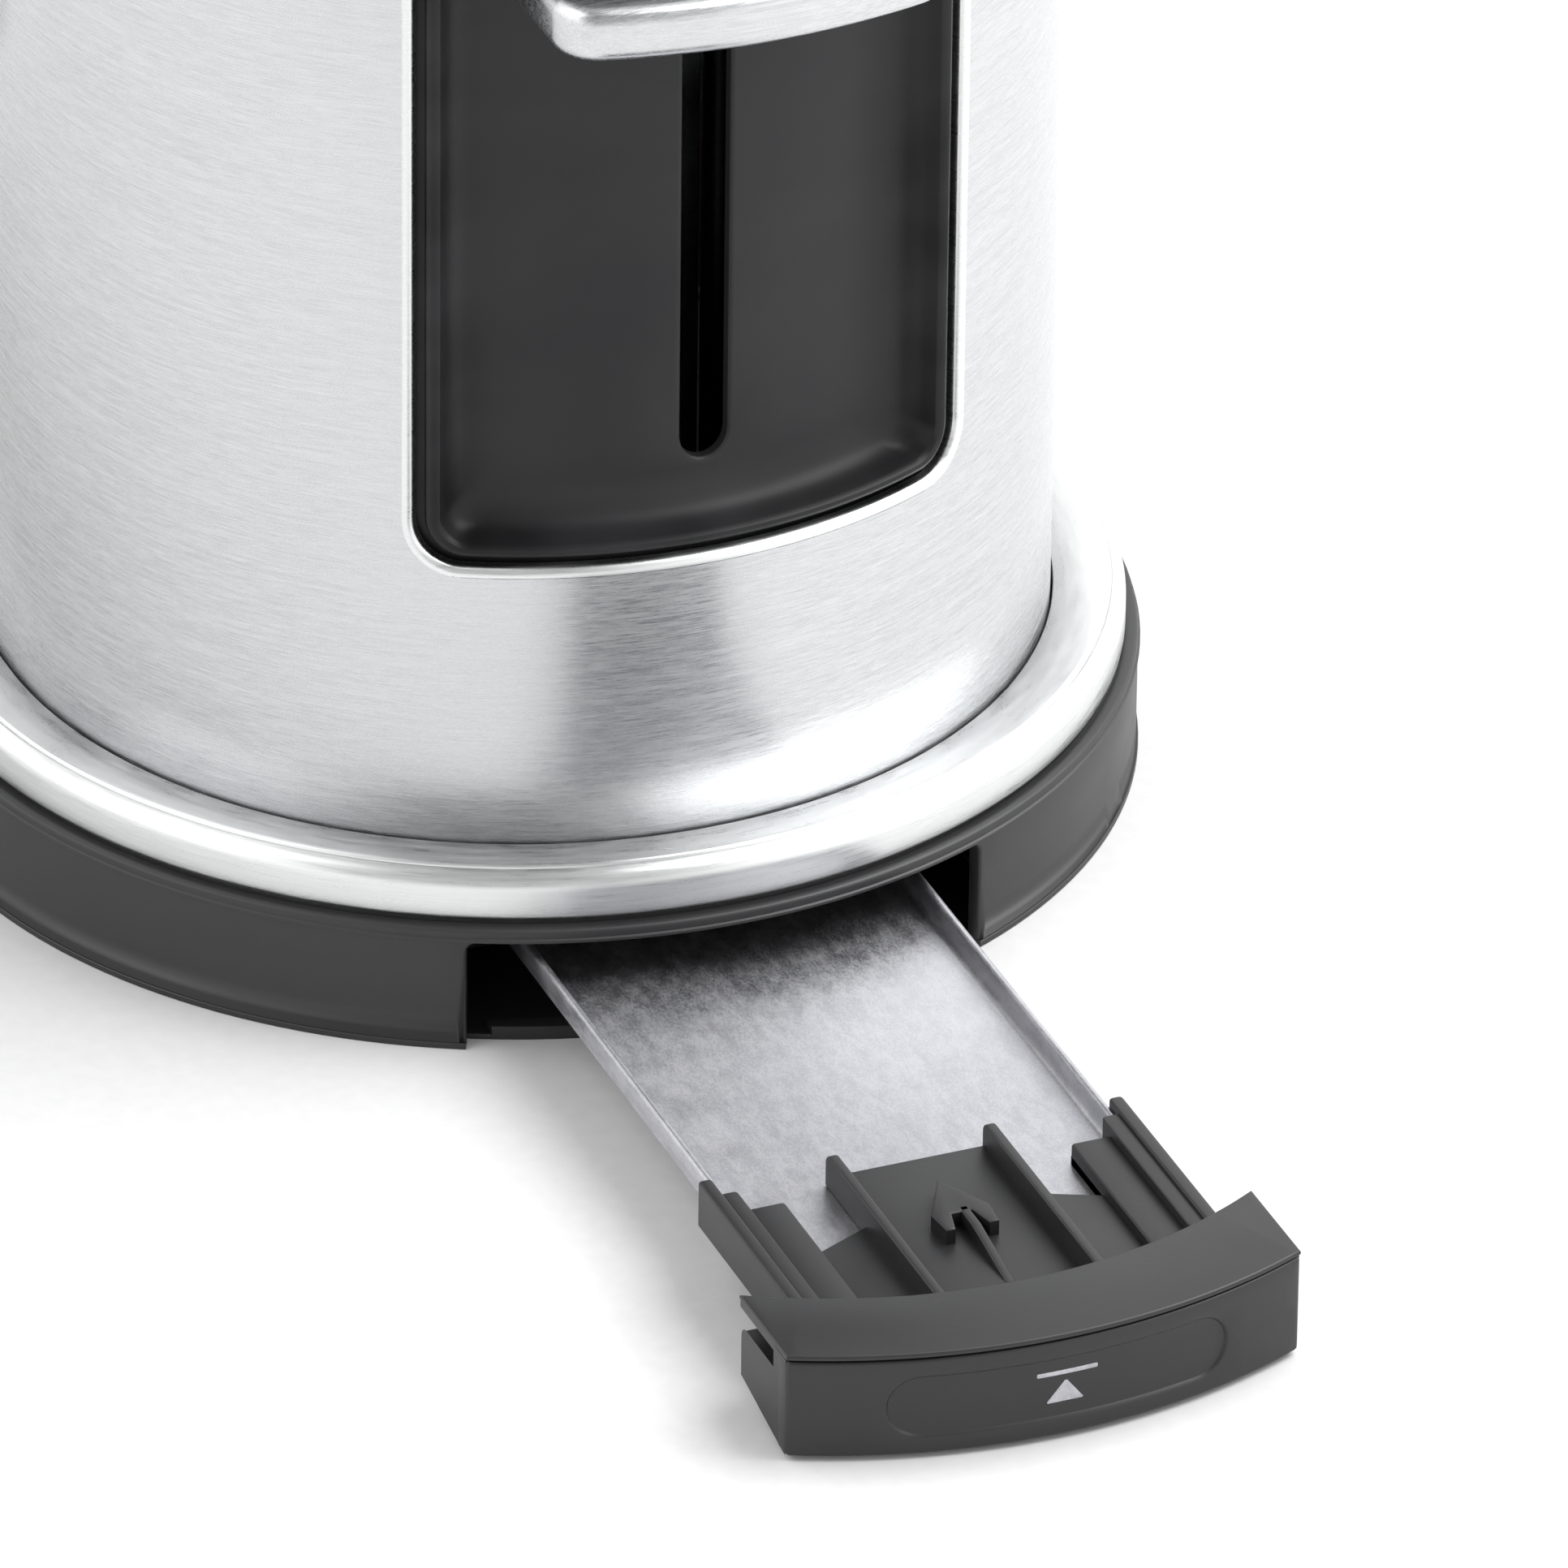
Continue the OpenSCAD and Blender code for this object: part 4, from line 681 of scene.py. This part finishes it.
for side in (-1, 1):
    run = [a for a in skirtSteps if a * side > 0]
    ends = ((bodyIn - 0.1, coverTop - 12), (bodyIn - 0.1, coverTop - 7), (bodyIn - 0.9, coverTop - 7),
            (bodyIn - 0.9, coverTop - 12))
    addStrip(skirt, [[(out, a, up) for out, up in ends] for a in run])
makePiece("top_cover_pressing", [(cover, layFlat()), (skirt, wrapPlan(bodyIn))], "housing", brushedTop,
          ["top_cover"], 40)

frameSizes = {"lip": 2.0, "rise": 0.8, "wall": 1.2, "depth": 15.0, "cornerR": 8.0}
f = frameSizes
for side, name in ((-1, "left"), (1, "right")):
    outline = roundedLoop(0, side * s["slotPitch"] / 2, s["slotL"] + 2 * f["lip"], s["slotW"] + 2 * f["lip"],
                          f["cornerR"], 6, 2, 8)
    lipTop = coverTop + f["rise"]
    wallTo = coverTop - f["depth"]
    tube = f["lip"] + f["wall"]
    chain = [(0, coverTop), (0.05, coverTop + 0.4), (0.35, lipTop - 0.1), (0.8, lipTop), (tube - 0.8, lipTop),
             (tube - 0.3, lipTop - 0.12), (tube, lipTop - 0.6), (tube, wallTo), (f["lip"] + 0.1, wallTo),
             (f["lip"] + 0.1, coverTop)]
    shape = newShape()
    addStrip(shape, [[(out, *p) for p in insetLoop(outline, inset)] for inset, out in chain], chainShut=True)
    makePiece("slot_frame_" + name + "_moulding", [(shape, layFlat())], "housing", frameAbs,
              ["slot_frame_" + name])
print("top made")

# lever knob

leverSizes = {"halfW": 29.5, "backR": 73.5, "proud": 19.0, "cornerR": 7.0, "edgeR": 2.2, "backCornerR": 1.5}
s = leverSizes
frontR = bodyR + s["proud"]
cornerDeep = math.sqrt((frontR - s["cornerR"]) ** 2 - (s["halfW"] - s["cornerR"]) ** 2)
cornerAngle = math.degrees(math.atan2(s["halfW"] - s["cornerR"], cornerDeep))
backAngle = math.degrees(math.asin((s["halfW"] - 0.01) / s["backR"]))
knobOutline = arcPoints(endX, 0, frontR, -cornerAngle, cornerAngle, 24)[1:-1]
knobOutline += arcPoints(endX + cornerDeep, s["halfW"] - s["cornerR"], s["cornerR"], cornerAngle, 90, 8)
knobOutline += arcPoints(endX, 0, s["backR"], backAngle, -backAngle, 20)
knobOutline += arcPoints(endX + cornerDeep, s["cornerR"] - s["halfW"], s["cornerR"], -90, -cornerAngle, 8)
knob = addPlate(newShape(), knobOutline, edgeSection(knobHigh.z, knobLow.z, s["edgeR"], steps=6))
makePiece("lever_knob_solid", [(knob, layFlat())], "carriage", knobSteel, ["lever_knob"])

# controls on the side

controlSizes = {
    "plateR": 4.7, "proud": 1.2, "plateT": 2.2, "dialD": 28.0, "dialH": 10.0, "dialGap": 0.8, "grips": 28,
    "keyD": 11.0, "keyGap": 0.4, "keyProud": 2.2, "lensR": 1.5, "tickR": 17.0, "tickL": 3.0,
}
s = controlSizes
faceOut = bodyR + s["proud"]
dialLow, dialHigh = nodeBox("browning_knob")
dialZ = (dialLow.z + dialHigh.z) / 2
keyZs = [sum(z.z for z in nodeBox(key)) / 2 for key in ("stop_button", "defrost_button", "reheat_button")]
lensX = sum(p.x for p in nodeBox("status_lenses")) / 2
holes = []
for z in keyZs:
    well = arcPoints(0, z - fasciaZ, s["keyD"] / 2 + s["keyGap"], 360, 0, 32)[:-1]
    holes.append((well, edgeSection(faceOut, faceOut - s["plateT"], 0.4, 0.1)))
    eye = arcPoints(lensX - fasciaX, z - fasciaZ, s["lensR"] + 0.05, 360, 0, 16)[:-1]
    holes.append((eye, edgeSection(faceOut, faceOut - s["plateT"], 0.2, 0.05)))
fascia = addPlate(newShape(), roundedLoop(0, 0, windowW - 0.6, windowH - 0.6, s["plateR"], 4, 4),
                  edgeSection(faceOut, faceOut - s["plateT"], 0.8, 0.1), holes)
flangeEdge = edgeSection(bodyIn - 0.1, bodyIn - 1.4, 0.1)
flangeHole = roundedLoop(0, 0, windowW - 4, windowH - 4, 4)[::-1]
flange = addPlate(newShape(), roundedLoop(0, 0, windowW + 5.4, windowH + 5.4, 5), flangeEdge,
                  [(flangeHole, flangeEdge)])
makePiece("control_plate", [(fascia, sideFace(fasciaX, 0, fasciaZ)), (flange, sideFace(fasciaX, 0, fasciaZ))],
          "housing", controlAbs, ["control_fascia"])

marks = newShape()
for i in range(7):
    angle = math.radians(90 - 130 + 260 * i / 6)
    size = 0.55 if i in (0, 6) else 0.4
    middle = Vector((math.cos(angle), math.sin(angle))) * s["tickR"]
    along = Vector((math.cos(angle), math.sin(angle))) * s["tickL"] / 2
    across = Vector((-math.sin(angle), math.cos(angle))) * size / 2
    tick = [tuple(middle + along * a + across * b) for a, b in ((-1, -1), (1, -1), (1, 1), (-1, 1))]
    addPlate(marks, tick, [(0.05, faceOut + 0.04), (0, faceOut - 0.1)])
for z, bars in zip(keyZs, (1, 2, 3)):
    for i in range(bars):
        v = z - dialZ + 1.6 * (i - (bars - 1) / 2)
        addPlate(marks, roundedLoop(-10.5, v, 4.5, 0.7, 0.3), [(0.05, faceOut + 0.04), (0, faceOut - 0.1)])
makePiece("control_marks", [(marks, sideFace(fasciaX, 0, dialZ))], "housing", inkGrey)

dialBack = faceOut + s["dialGap"]
dialFront = dialBack + s["dialH"]
dialR, gripR = s["dialD"] / 2, s["dialD"] / 2 - 2
dial = newShape()
turn = [2 * math.pi * i / (s["grips"] * 6) for i in range(s["grips"] * 6)]
rings = [(0, dialBack, 0), (dialR - 0.3, dialBack, 0), (dialR, dialBack + 0.3, 0), (dialR, dialBack + 2.4, 0),
         (dialR - 0.5, dialBack + 3, 0), (gripR + 0.3, dialBack + 3, 0), (gripR, dialBack + 3.4, 0.35),
         (gripR, dialFront - 1.2, 0.35), (gripR - 0.4, dialFront - 0.4, 0.2), (gripR - 1.2, dialFront, 0),
         (gripR - 2.5, dialFront, 0), (gripR - 4, dialFront - 0.3, 0), (0.01, dialFront - 0.45, 0)]
addStrip(dial, [[(out, (r - deep * (0.5 + 0.5 * math.cos(s["grips"] * a))) * math.cos(a),
                  (r - deep * (0.5 + 0.5 * math.cos(s["grips"] * a))) * math.sin(a)) for a in turn]
                for r, out, deep in rings])
makePiece("browning_dial_knob", [(dial, sideFace(fasciaX, 0, dialZ))], "browning_dial", controlAbs,
          ["browning_knob"])
pointer = addPlate(newShape(), roundedLoop(0, gripR - 4.2, 1.1, 6, 0.5),
                   edgeSection(dialFront, dialFront - 0.8, 0.1))
makePiece("browning_dial_pointer", [(pointer, sideFace(fasciaX, 0, dialZ))], "browning_dial", inkGrey)

keyR = s["keyD"] / 2
keyTop = faceOut + s["keyProud"]
keyBack = bodyIn - 3.3
keySection = [(0, keyBack), (keyR + 1.4, keyBack), (keyR + 1.4, keyBack + 0.9), (keyR, keyBack + 0.9),
              (keyR, keyTop - 0.9), (keyR - 0.15, keyTop - 0.45), (keyR - 0.5, keyTop - 0.12),
              (keyR - 1.0, keyTop), (keyR - 2.2, keyTop - 0.05), (keyR - 4, keyTop - 0.2),
              (0.01, keyTop - 0.25)]
for z, name in zip(keyZs, ("stop", "defrost", "reheat")):
    makePiece(name + "_key_cap", [(addLathe(newShape(), keySection), sideFace(fasciaX, 0, z))], name + "_key",
              trayAbs, [name + "_button"])
lenses = newShape()
for z in keyZs:
    addLathe(lenses, [(0, bodyIn - 1), (s["lensR"], bodyIn - 1), (s["lensR"], faceOut),
                      (s["lensR"] * 0.7, faceOut + 0.22), (0.01, faceOut + 0.3)], 24, 0, z)
makePiece("status_lens_domes", [(lenses, sideFace(lensX, 0, 0))], "housing", lensPlastic,
          ["status_lenses"])
print("lever and controls made")

# cord gland

glandSizes = {"flangeR": 8.5, "lip": 1.5, "boreR": 3.6, "neckR": 5.9, "depth": 12.0, "z": 10.5}
s = glandSizes
rear = endX + baseR
glandSection = [(s["boreR"], rear + s["lip"] - 0.5), (s["boreR"] + 0.5, rear + s["lip"]),
                (s["flangeR"] - 0.7, rear + s["lip"]), (s["flangeR"] - 0.2, rear + s["lip"] - 0.3),
                (s["flangeR"], rear + 0.4), (s["flangeR"], rear - 0.3), (s["neckR"], rear - 0.3),
                (s["neckR"], rear - s["depth"]), (s["boreR"], rear - s["depth"])]
gland = addLathe(newShape(), glandSection + glandSection[:1])
makePiece("cord_gland_bush", [(gland, rearFace(0, 0, s["z"]))], "housing", blackRubber,
          ["cord_gland"])

# crumb tray, pulled out at rest

traySizes = {
    "wall": 2.6, "edgeR": 0.55, "ledge": 15.5, "ledgeT": 2.0, "rimT": 0.75, "grooveH": 0.3, "endWall": 2.4,
    "padW": 51.0, "padH": 9.4, "padZ": 8.4, "padDeep": 0.5, "tabTop": 12.4,
    "deckTop": 12.6, "ribTop": 16.2, "armTop": 15.6, "stepTop": 14.2, "ribY": 12.0, "ribT": 1.6,
    "camTop": 15.0, "hem": 1.2, "panCornerR": 3.0,
}
s = traySizes
trayCx = trayHigh.x - baseR
trayHalf = trayHigh.y
faceTop = trayHigh.z - s["rimT"] - s["grooveH"]
ySteps = [-trayHalf + 2 * trayHalf * i / 56 for i in range(57)]
face = newShape()
faceOutline = roundedLoop(0, (trayLow.z + faceTop) / 2, 2 * trayHalf, faceTop - trayLow.z, 0.6, 56, 2, 3)
padOuter = roundedLoop(0, s["padZ"], s["padW"] + 0.6, s["padH"] + 0.6, s["padH"] / 2 + 0.28, 40, 1, 14)[::-1]
section = edgeSection(baseR, baseR - s["wall"], s["edgeR"], 0.2)
addPlate(face, faceOutline, section, gridU=ySteps, gridV=(2, 8, 14),
         holes=[(padOuter, [(0.18, baseR), (0, baseR - 0.06)])])
padRings = [(0, baseR - 0.06), (-0.18, baseR - 0.2), (-0.4, baseR - s["padDeep"] + 0.05),
            (-0.6, baseR - s["padDeep"])]
addStrip(face, [[(out, *p) for p in insetLoop(padOuter, inset)] for inset, out in padRings])
addCap(face, baseR - s["padDeep"], [insetLoop(padOuter, -0.6)], ySteps, (6, 8, 10))
ledgeBackR = baseR - s["ledge"]


def bandOutline(outerR, innerR, half):
    a, b = (math.degrees(math.asin(half / radius)) for radius in (outerR, innerR))
    return arcPoints(trayCx, 0, outerR, -a, a, 48) + arcPoints(trayCx, 0, innerR, b, -b, 40)


ledge = addPlate(newShape(), bandOutline(baseR, ledgeBackR, trayHalf),
                 edgeSection(trayHigh.z, trayHigh.z - s["rimT"], 0.35, 0.15))
addPlate(ledge, bandOutline(baseR - 0.7, ledgeBackR + 0.1, trayHalf - 0.1),
         edgeSection(trayHigh.z - 0.2, trayHigh.z - s["ledgeT"], 0.1))
backWall = addPlate(newShape(), bandOutline(ledgeBackR + 2, ledgeBackR, trayHalf - 2.6),
                    edgeSection(trayHigh.z - s["ledgeT"] + 0.1, s["deckTop"] - 0.2, 0.1))
frontX = trayCx + math.sqrt((baseR - 0.6) ** 2 - trayHalf ** 2)
tab = [(frontX, trayLow.z + 0.3), (frontX, trayHigh.z - 1.2), (frontX - 4, trayHigh.z - 1.2),
       (frontX - 4, s["tabTop"]), (frontX - 14.2, s["tabTop"])]
tab += arcPoints(frontX - 14.2, s["tabTop"] - 1.6, 1.6, 90, 180, 5)[1:]
tab += [(frontX - 15.8, trayLow.z + 3.9)]
tabShape = addPlate(newShape(), tab[::-1], edgeSection(-0.06, -s["endWall"], 0.25))


def blockOutline(x0, x1, y0, y1, r=0.0):
    if not r:
        return [(x1, y0), (x1, y1), (x0, y1), (x0, y0)]
    return roundedLoop((x0 + x1) / 2, (y0 + y1) / 2, x1 - x0, y1 - y0, r, cornerSteps=4)


deckX = trayCx + 35
innerX = trayCx + ledgeBackR + 1
armIn, armOut = panHigh.y - 2.7, panHigh.y + 1.9
stepIn = armIn - 6
deckHalf = [(deckX + 6.8, armIn), (deckX + 6.8, stepIn), (deckX + 18.5, stepIn), (deckX + 14, s["ribY"]),
            (deckX, s["ribY"])]
deckLoop = [(innerX, -armIn), (innerX, armIn)] + deckHalf + [(x, -y) for x, y in reversed(deckHalf)]
deckShape = addPlate(newShape(), deckLoop, edgeSection(s["deckTop"], panLow.z + 0.6, 0.35, 0.05))
bars = newShape()
for side in (-1, 1):
    spans = [(deckX + 6.5, innerX, stepIn, armIn + 0.3, s["stepTop"], 0.35),
             (deckX, innerX - 8, armOut - 2.1, armOut, s["ribTop"], 0.35),
             (deckX + 3.5, innerX - 8, armIn, armOut - 1.8, s["armTop"], 0.2)]
    for x0, x1, y0, y1, top, edge in spans:
        y0, y1 = sorted((side * y0, side * y1))
        addPlate(bars, blockOutline(x0, x1, y0, y1, 0.6), edgeSection(top, panLow.z - 1.2, edge, 0.1))
ribLoop = [(innerX, panHigh.z - 4), (innerX, s["ribTop"])]
ribLoop += arcPoints(deckX + 0.9, s["ribTop"] - 1.4, 1.4, 90, 180, 5) + [(deckX - 0.5, panHigh.z - 4)]
ribEdge = edgeSection(s["ribT"] / 2, -s["ribT"] / 2, 0.3)
ribs = [(addPlate(newShape(), ribLoop, ribEdge), sideFace(0, side * s["ribY"], 0)) for side in (-1, 1)]
camX = trayCx + 45
cam = [(0, 0), (8.5, -4.5), (13, -4), (13, -2.6), (9, -1.6), (9, 1.6), (13, 2.6), (13, 4), (8.5, 4.5)]
camShape = addPlate(newShape(), [(camX + x, y) for x, y in cam],
                    edgeSection(s["camTop"], s["deckTop"] - 0.3, 0.25))
shortRib = [(camX + 8, s["deckTop"] - 0.2), (camX + 25.5, s["deckTop"] - 0.2),
            (camX + 25.5, s["deckTop"] + 0.1), (camX + 12.8, s["camTop"]), (camX + 8, s["camTop"])]
ribs.append((addPlate(newShape(), shortRib, edgeSection(0.7, -0.7, 0.25)), sideFace(0, 0.6, 0)))
tabPlace = sideFace(0, -trayHalf, 0)
makePiece("tray_front_moulding", [(face, roundFace(trayCx)), (ledge, layFlat()), (backWall, layFlat()),
                                  (tabShape, tabPlace), (tabShape, mirrored(tabPlace)),
                                  (deckShape, layFlat()), (bars, layFlat()), (camShape, layFlat())] + ribs,
          "crumb_tray", trayAbs, ["tray_front"], 32)

icon = newShape()
mark = edgeSection(baseR - s["padDeep"] + 0.05, baseR - s["padDeep"] - 0.2, 0.04)
addPlate(icon, roundedLoop(0.15, 10.72, 9.15, 0.7, 0.2, 4), mark)
addPlate(icon, [(-2.8, 5.95), (2.5, 5.95), (2.55, 6.2), (0.1, 9.35), (-0.25, 9.35), (-2.85, 6.2)], mark)
makePiece("tray_icon", [(icon, roundFace(trayCx))], "crumb_tray", silverFoil)

pan = newShape()
panX0, panX1 = panLow.x, panHigh.x
panHalf = panHigh.y
floorZ = panLow.z + 0.6
hem = s["hem"]
panOutline = roundedLoop((panX0 + panX1) / 2, 0, panX1 - panX0, 2 * panHalf, s["panCornerR"], 40, 6, 6)
hemR = hem / 2
panSection = [(hem + 1.2, floorZ), (hem + 0.75, floorZ + 0.08), (hem + 0.35, floorZ + 0.3),
              (hem + 0.1, floorZ + 0.75), (hem, floorZ + 1.3), (hem, panHigh.z - hemR)]
panSection += [(hemR + hemR * math.cos(math.radians(d)), panHigh.z - hemR + hemR * math.sin(math.radians(d)))
               for d in range(30, 181, 30)]
panSection += [(0, panHigh.z - 2.2), (0.35, panHigh.z - 2.3), (0.35, panLow.z + 0.5), (0.9, panLow.z)]
under = s["deckTop"] - 0.35


def panPoint(out, p):
    return (min(out, under) if p[0] > panX1 - 8 else out, *p)


addStrip(pan, [[panPoint(out, p) for p in insetLoop(panOutline, inset)] for inset, out in panSection])
addCap(pan, floorZ, [insetLoop(panOutline, panSection[0][0])], range(40, 250, 14), range(-26, 27, 13))
addCap(pan, panLow.z, [insetLoop(panOutline, panSection[-1][0])])
makePiece("tray_pan_sheet", [(pan, layFlat())], "crumb_tray", galvanised, ["tray_pan"])
print("crumb tray made")

# finishes of the pieces kept as they are

finishes = (
    (blackenedSteel, ("guide_rods",)),
    (zincSheet, ("chassis_front_plate", "chassis_rear_plate", "crumb_chute", "latch_bracket",
                 "carriage_slider", "lever_arm")),
    (aluminised, ("reflector_left", "reflector_right")),
    (nickelled, ("base_screws", "panel_screws", "chassis_screws", "knob_screw", "latch_arm", "browning_pot",
                 "switch_contacts")),
    (chromedWire, ("lift_spring", "bread_rack_left", "bread_rack_right", "guard_left_outer",
                   "guard_left_inner", "guard_right_inner", "guard_right_outer")),
    (mica, ("heater_board_left", "heater_board_centre", "heater_board_right")),
    (nichrome, ("heater_wire_left", "heater_wire_centre", "heater_wire_right")),
    (softIron, ("magnet_core", "armature")),
    (copperCoil, ("magnet_coil",)),
    (creamPbt, ("terminal_block", "rod_bushes")),
    (greenLaminate, ("control_board",)),
    (charcoalAbs, ("bottom_plate",)),
    (switchPbt, ("mains_switch", "tact_switches", "tray_rails")),
    (blackRubber, ("rubber_feet",)),
    (leadSleeve, ("mains_leads",)),
)
for material, nodes in finishes:
    for node in nodes:
        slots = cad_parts[node].data.materials
        slots.clear()
        slots.append(material)

# floor, lights and camera

# the room is white up to skyDimFrom and dims to skyTop over the ceiling (sine of the elevation)
studio = {"sky": 1.5, "skyTop": "#9a9a9a", "skyDimFrom": 0.62, "skyDimTo": 0.88,
          "dimWay": (0.8, -0.33, 0.5), "dimFrom": 0.72, "dimTo": 0.93, "dimSide": "#a6a6a6",
          "key": 52, "fill": 14, "floorSize": 6}
floorMesh = bpy.data.meshes.new("floor")
bm = bmesh.new()
bmesh.ops.create_grid(bm, x_segments=1, y_segments=1, size=studio["floorSize"])
bm.to_mesh(floorMesh)
bm.free()
floor = bpy.data.objects.new("floor", floorMesh)
bpy.context.scene.collection.objects.link(floor)
paper, tree = startMaterial("white_studio_paper")
fibres = pattern(tree, (3, 3, 3), 2.0)
colour = addNode(tree, "ValToRGB", {"stops": ((0.3, "#dddddd"), (0.7, "#e1e1e1"))}, {"Fac": fibres})
endMaterial(tree, {"Roughness": 0.9, "Specular IOR Level": 0.1}, {"Base Color": colour})
floorMesh.materials.append(paper)

scene = bpy.context.scene
world = bpy.data.worlds.new("studio")
scene.world = world
world.use_nodes = True
sky = world.node_tree
sky.nodes.clear()
way = addNode(sky, "TexCoord")
height = addNode(sky, "SeparateXYZ", {}, {"Vector": way.outputs["Generated"]})
toneStops = ((studio["skyDimFrom"], "#ffffff"), (studio["skyDimTo"], studio["skyTop"]))
tone = addNode(sky, "ValToRGB", {"stops": toneStops}, {"Fac": height.outputs["Z"]})
# the unlit part of the room, between the softboxes
aside = addNode(sky, "VectorMath", {"operation": "DOT_PRODUCT", 1: studio["dimWay"]},
                {0: way.outputs["Generated"]})
shadeStops = ((studio["dimFrom"], "#ffffff"), (studio["dimTo"], studio["dimSide"]))
shade = addNode(sky, "ValToRGB", {"stops": shadeStops}, {"Fac": aside.outputs["Value"]})
both = addNode(sky, "Mix", {"data_type": "RGBA", "blend_type": "MULTIPLY", 0: 1.0}, {6: tone, 7: shade})
glow = addNode(sky, "Background", {"Strength": studio["sky"]}, {"Color": both.outputs[2]})
addNode(sky, "OutputWorld", {}, {"Surface": glow})
scene.view_settings.view_transform = "Standard"


def addSoftbox(name, azimuth, elevation, distance, size, power, target=(0.06, 0, 0.05)):
    light = bpy.data.lights.new(name, "AREA")
    light.shape = "RECTANGLE"
    light.size, light.size_y = size
    light.energy = power
    lamp = bpy.data.objects.new(name, light)
    a, e = math.radians(azimuth), math.radians(elevation)
    away = Vector((math.sin(a) * math.cos(e), -math.cos(a) * math.cos(e), math.sin(e)))
    lamp.location = Vector(target) + away * distance
    lamp.rotation_euler = away.to_track_quat("Z", "Y").to_euler()
    scene.collection.objects.link(lamp)
    return lamp


addSoftbox("soft_key", 170, 55, 2.2, (1.8, 1.8), studio["key"])
addSoftbox("soft_fill", 350, 50, 2.4, (1.8, 1.8), studio["fill"])

cameraSizes = {"azimuth": 67.570, "elevation": 30.221, "roll": 0.702, "lens": 409.94, "sensor": 36.0,
               "position": (2203.219, -838.277, 1327.447)}
c = cameraSizes
azimuth, elevation, roll = (math.radians(c[k]) for k in ("azimuth", "elevation", "roll"))
back = Vector((math.sin(azimuth) * math.cos(elevation), -math.cos(azimuth) * math.cos(elevation),
               math.sin(elevation)))
level = Vector((math.cos(azimuth), math.sin(azimuth), 0))
upward = back.cross(level)
right = math.cos(roll) * level + math.sin(roll) * upward
upward = -math.sin(roll) * level + math.cos(roll) * upward
cameraData = bpy.data.cameras.new("camera")
cameraData.lens, cameraData.sensor_width = c["lens"], c["sensor"]
cameraData.clip_start, cameraData.clip_end = 0.1, 50
camera = bpy.data.objects.new("camera", cameraData)
turned = Matrix((right, upward, back)).transposed().to_4x4()
camera.matrix_world = Matrix.Translation(Vector(c["position"]) * mm) @ turned
scene.collection.objects.link(camera)
scene.camera = camera
print("studio made")
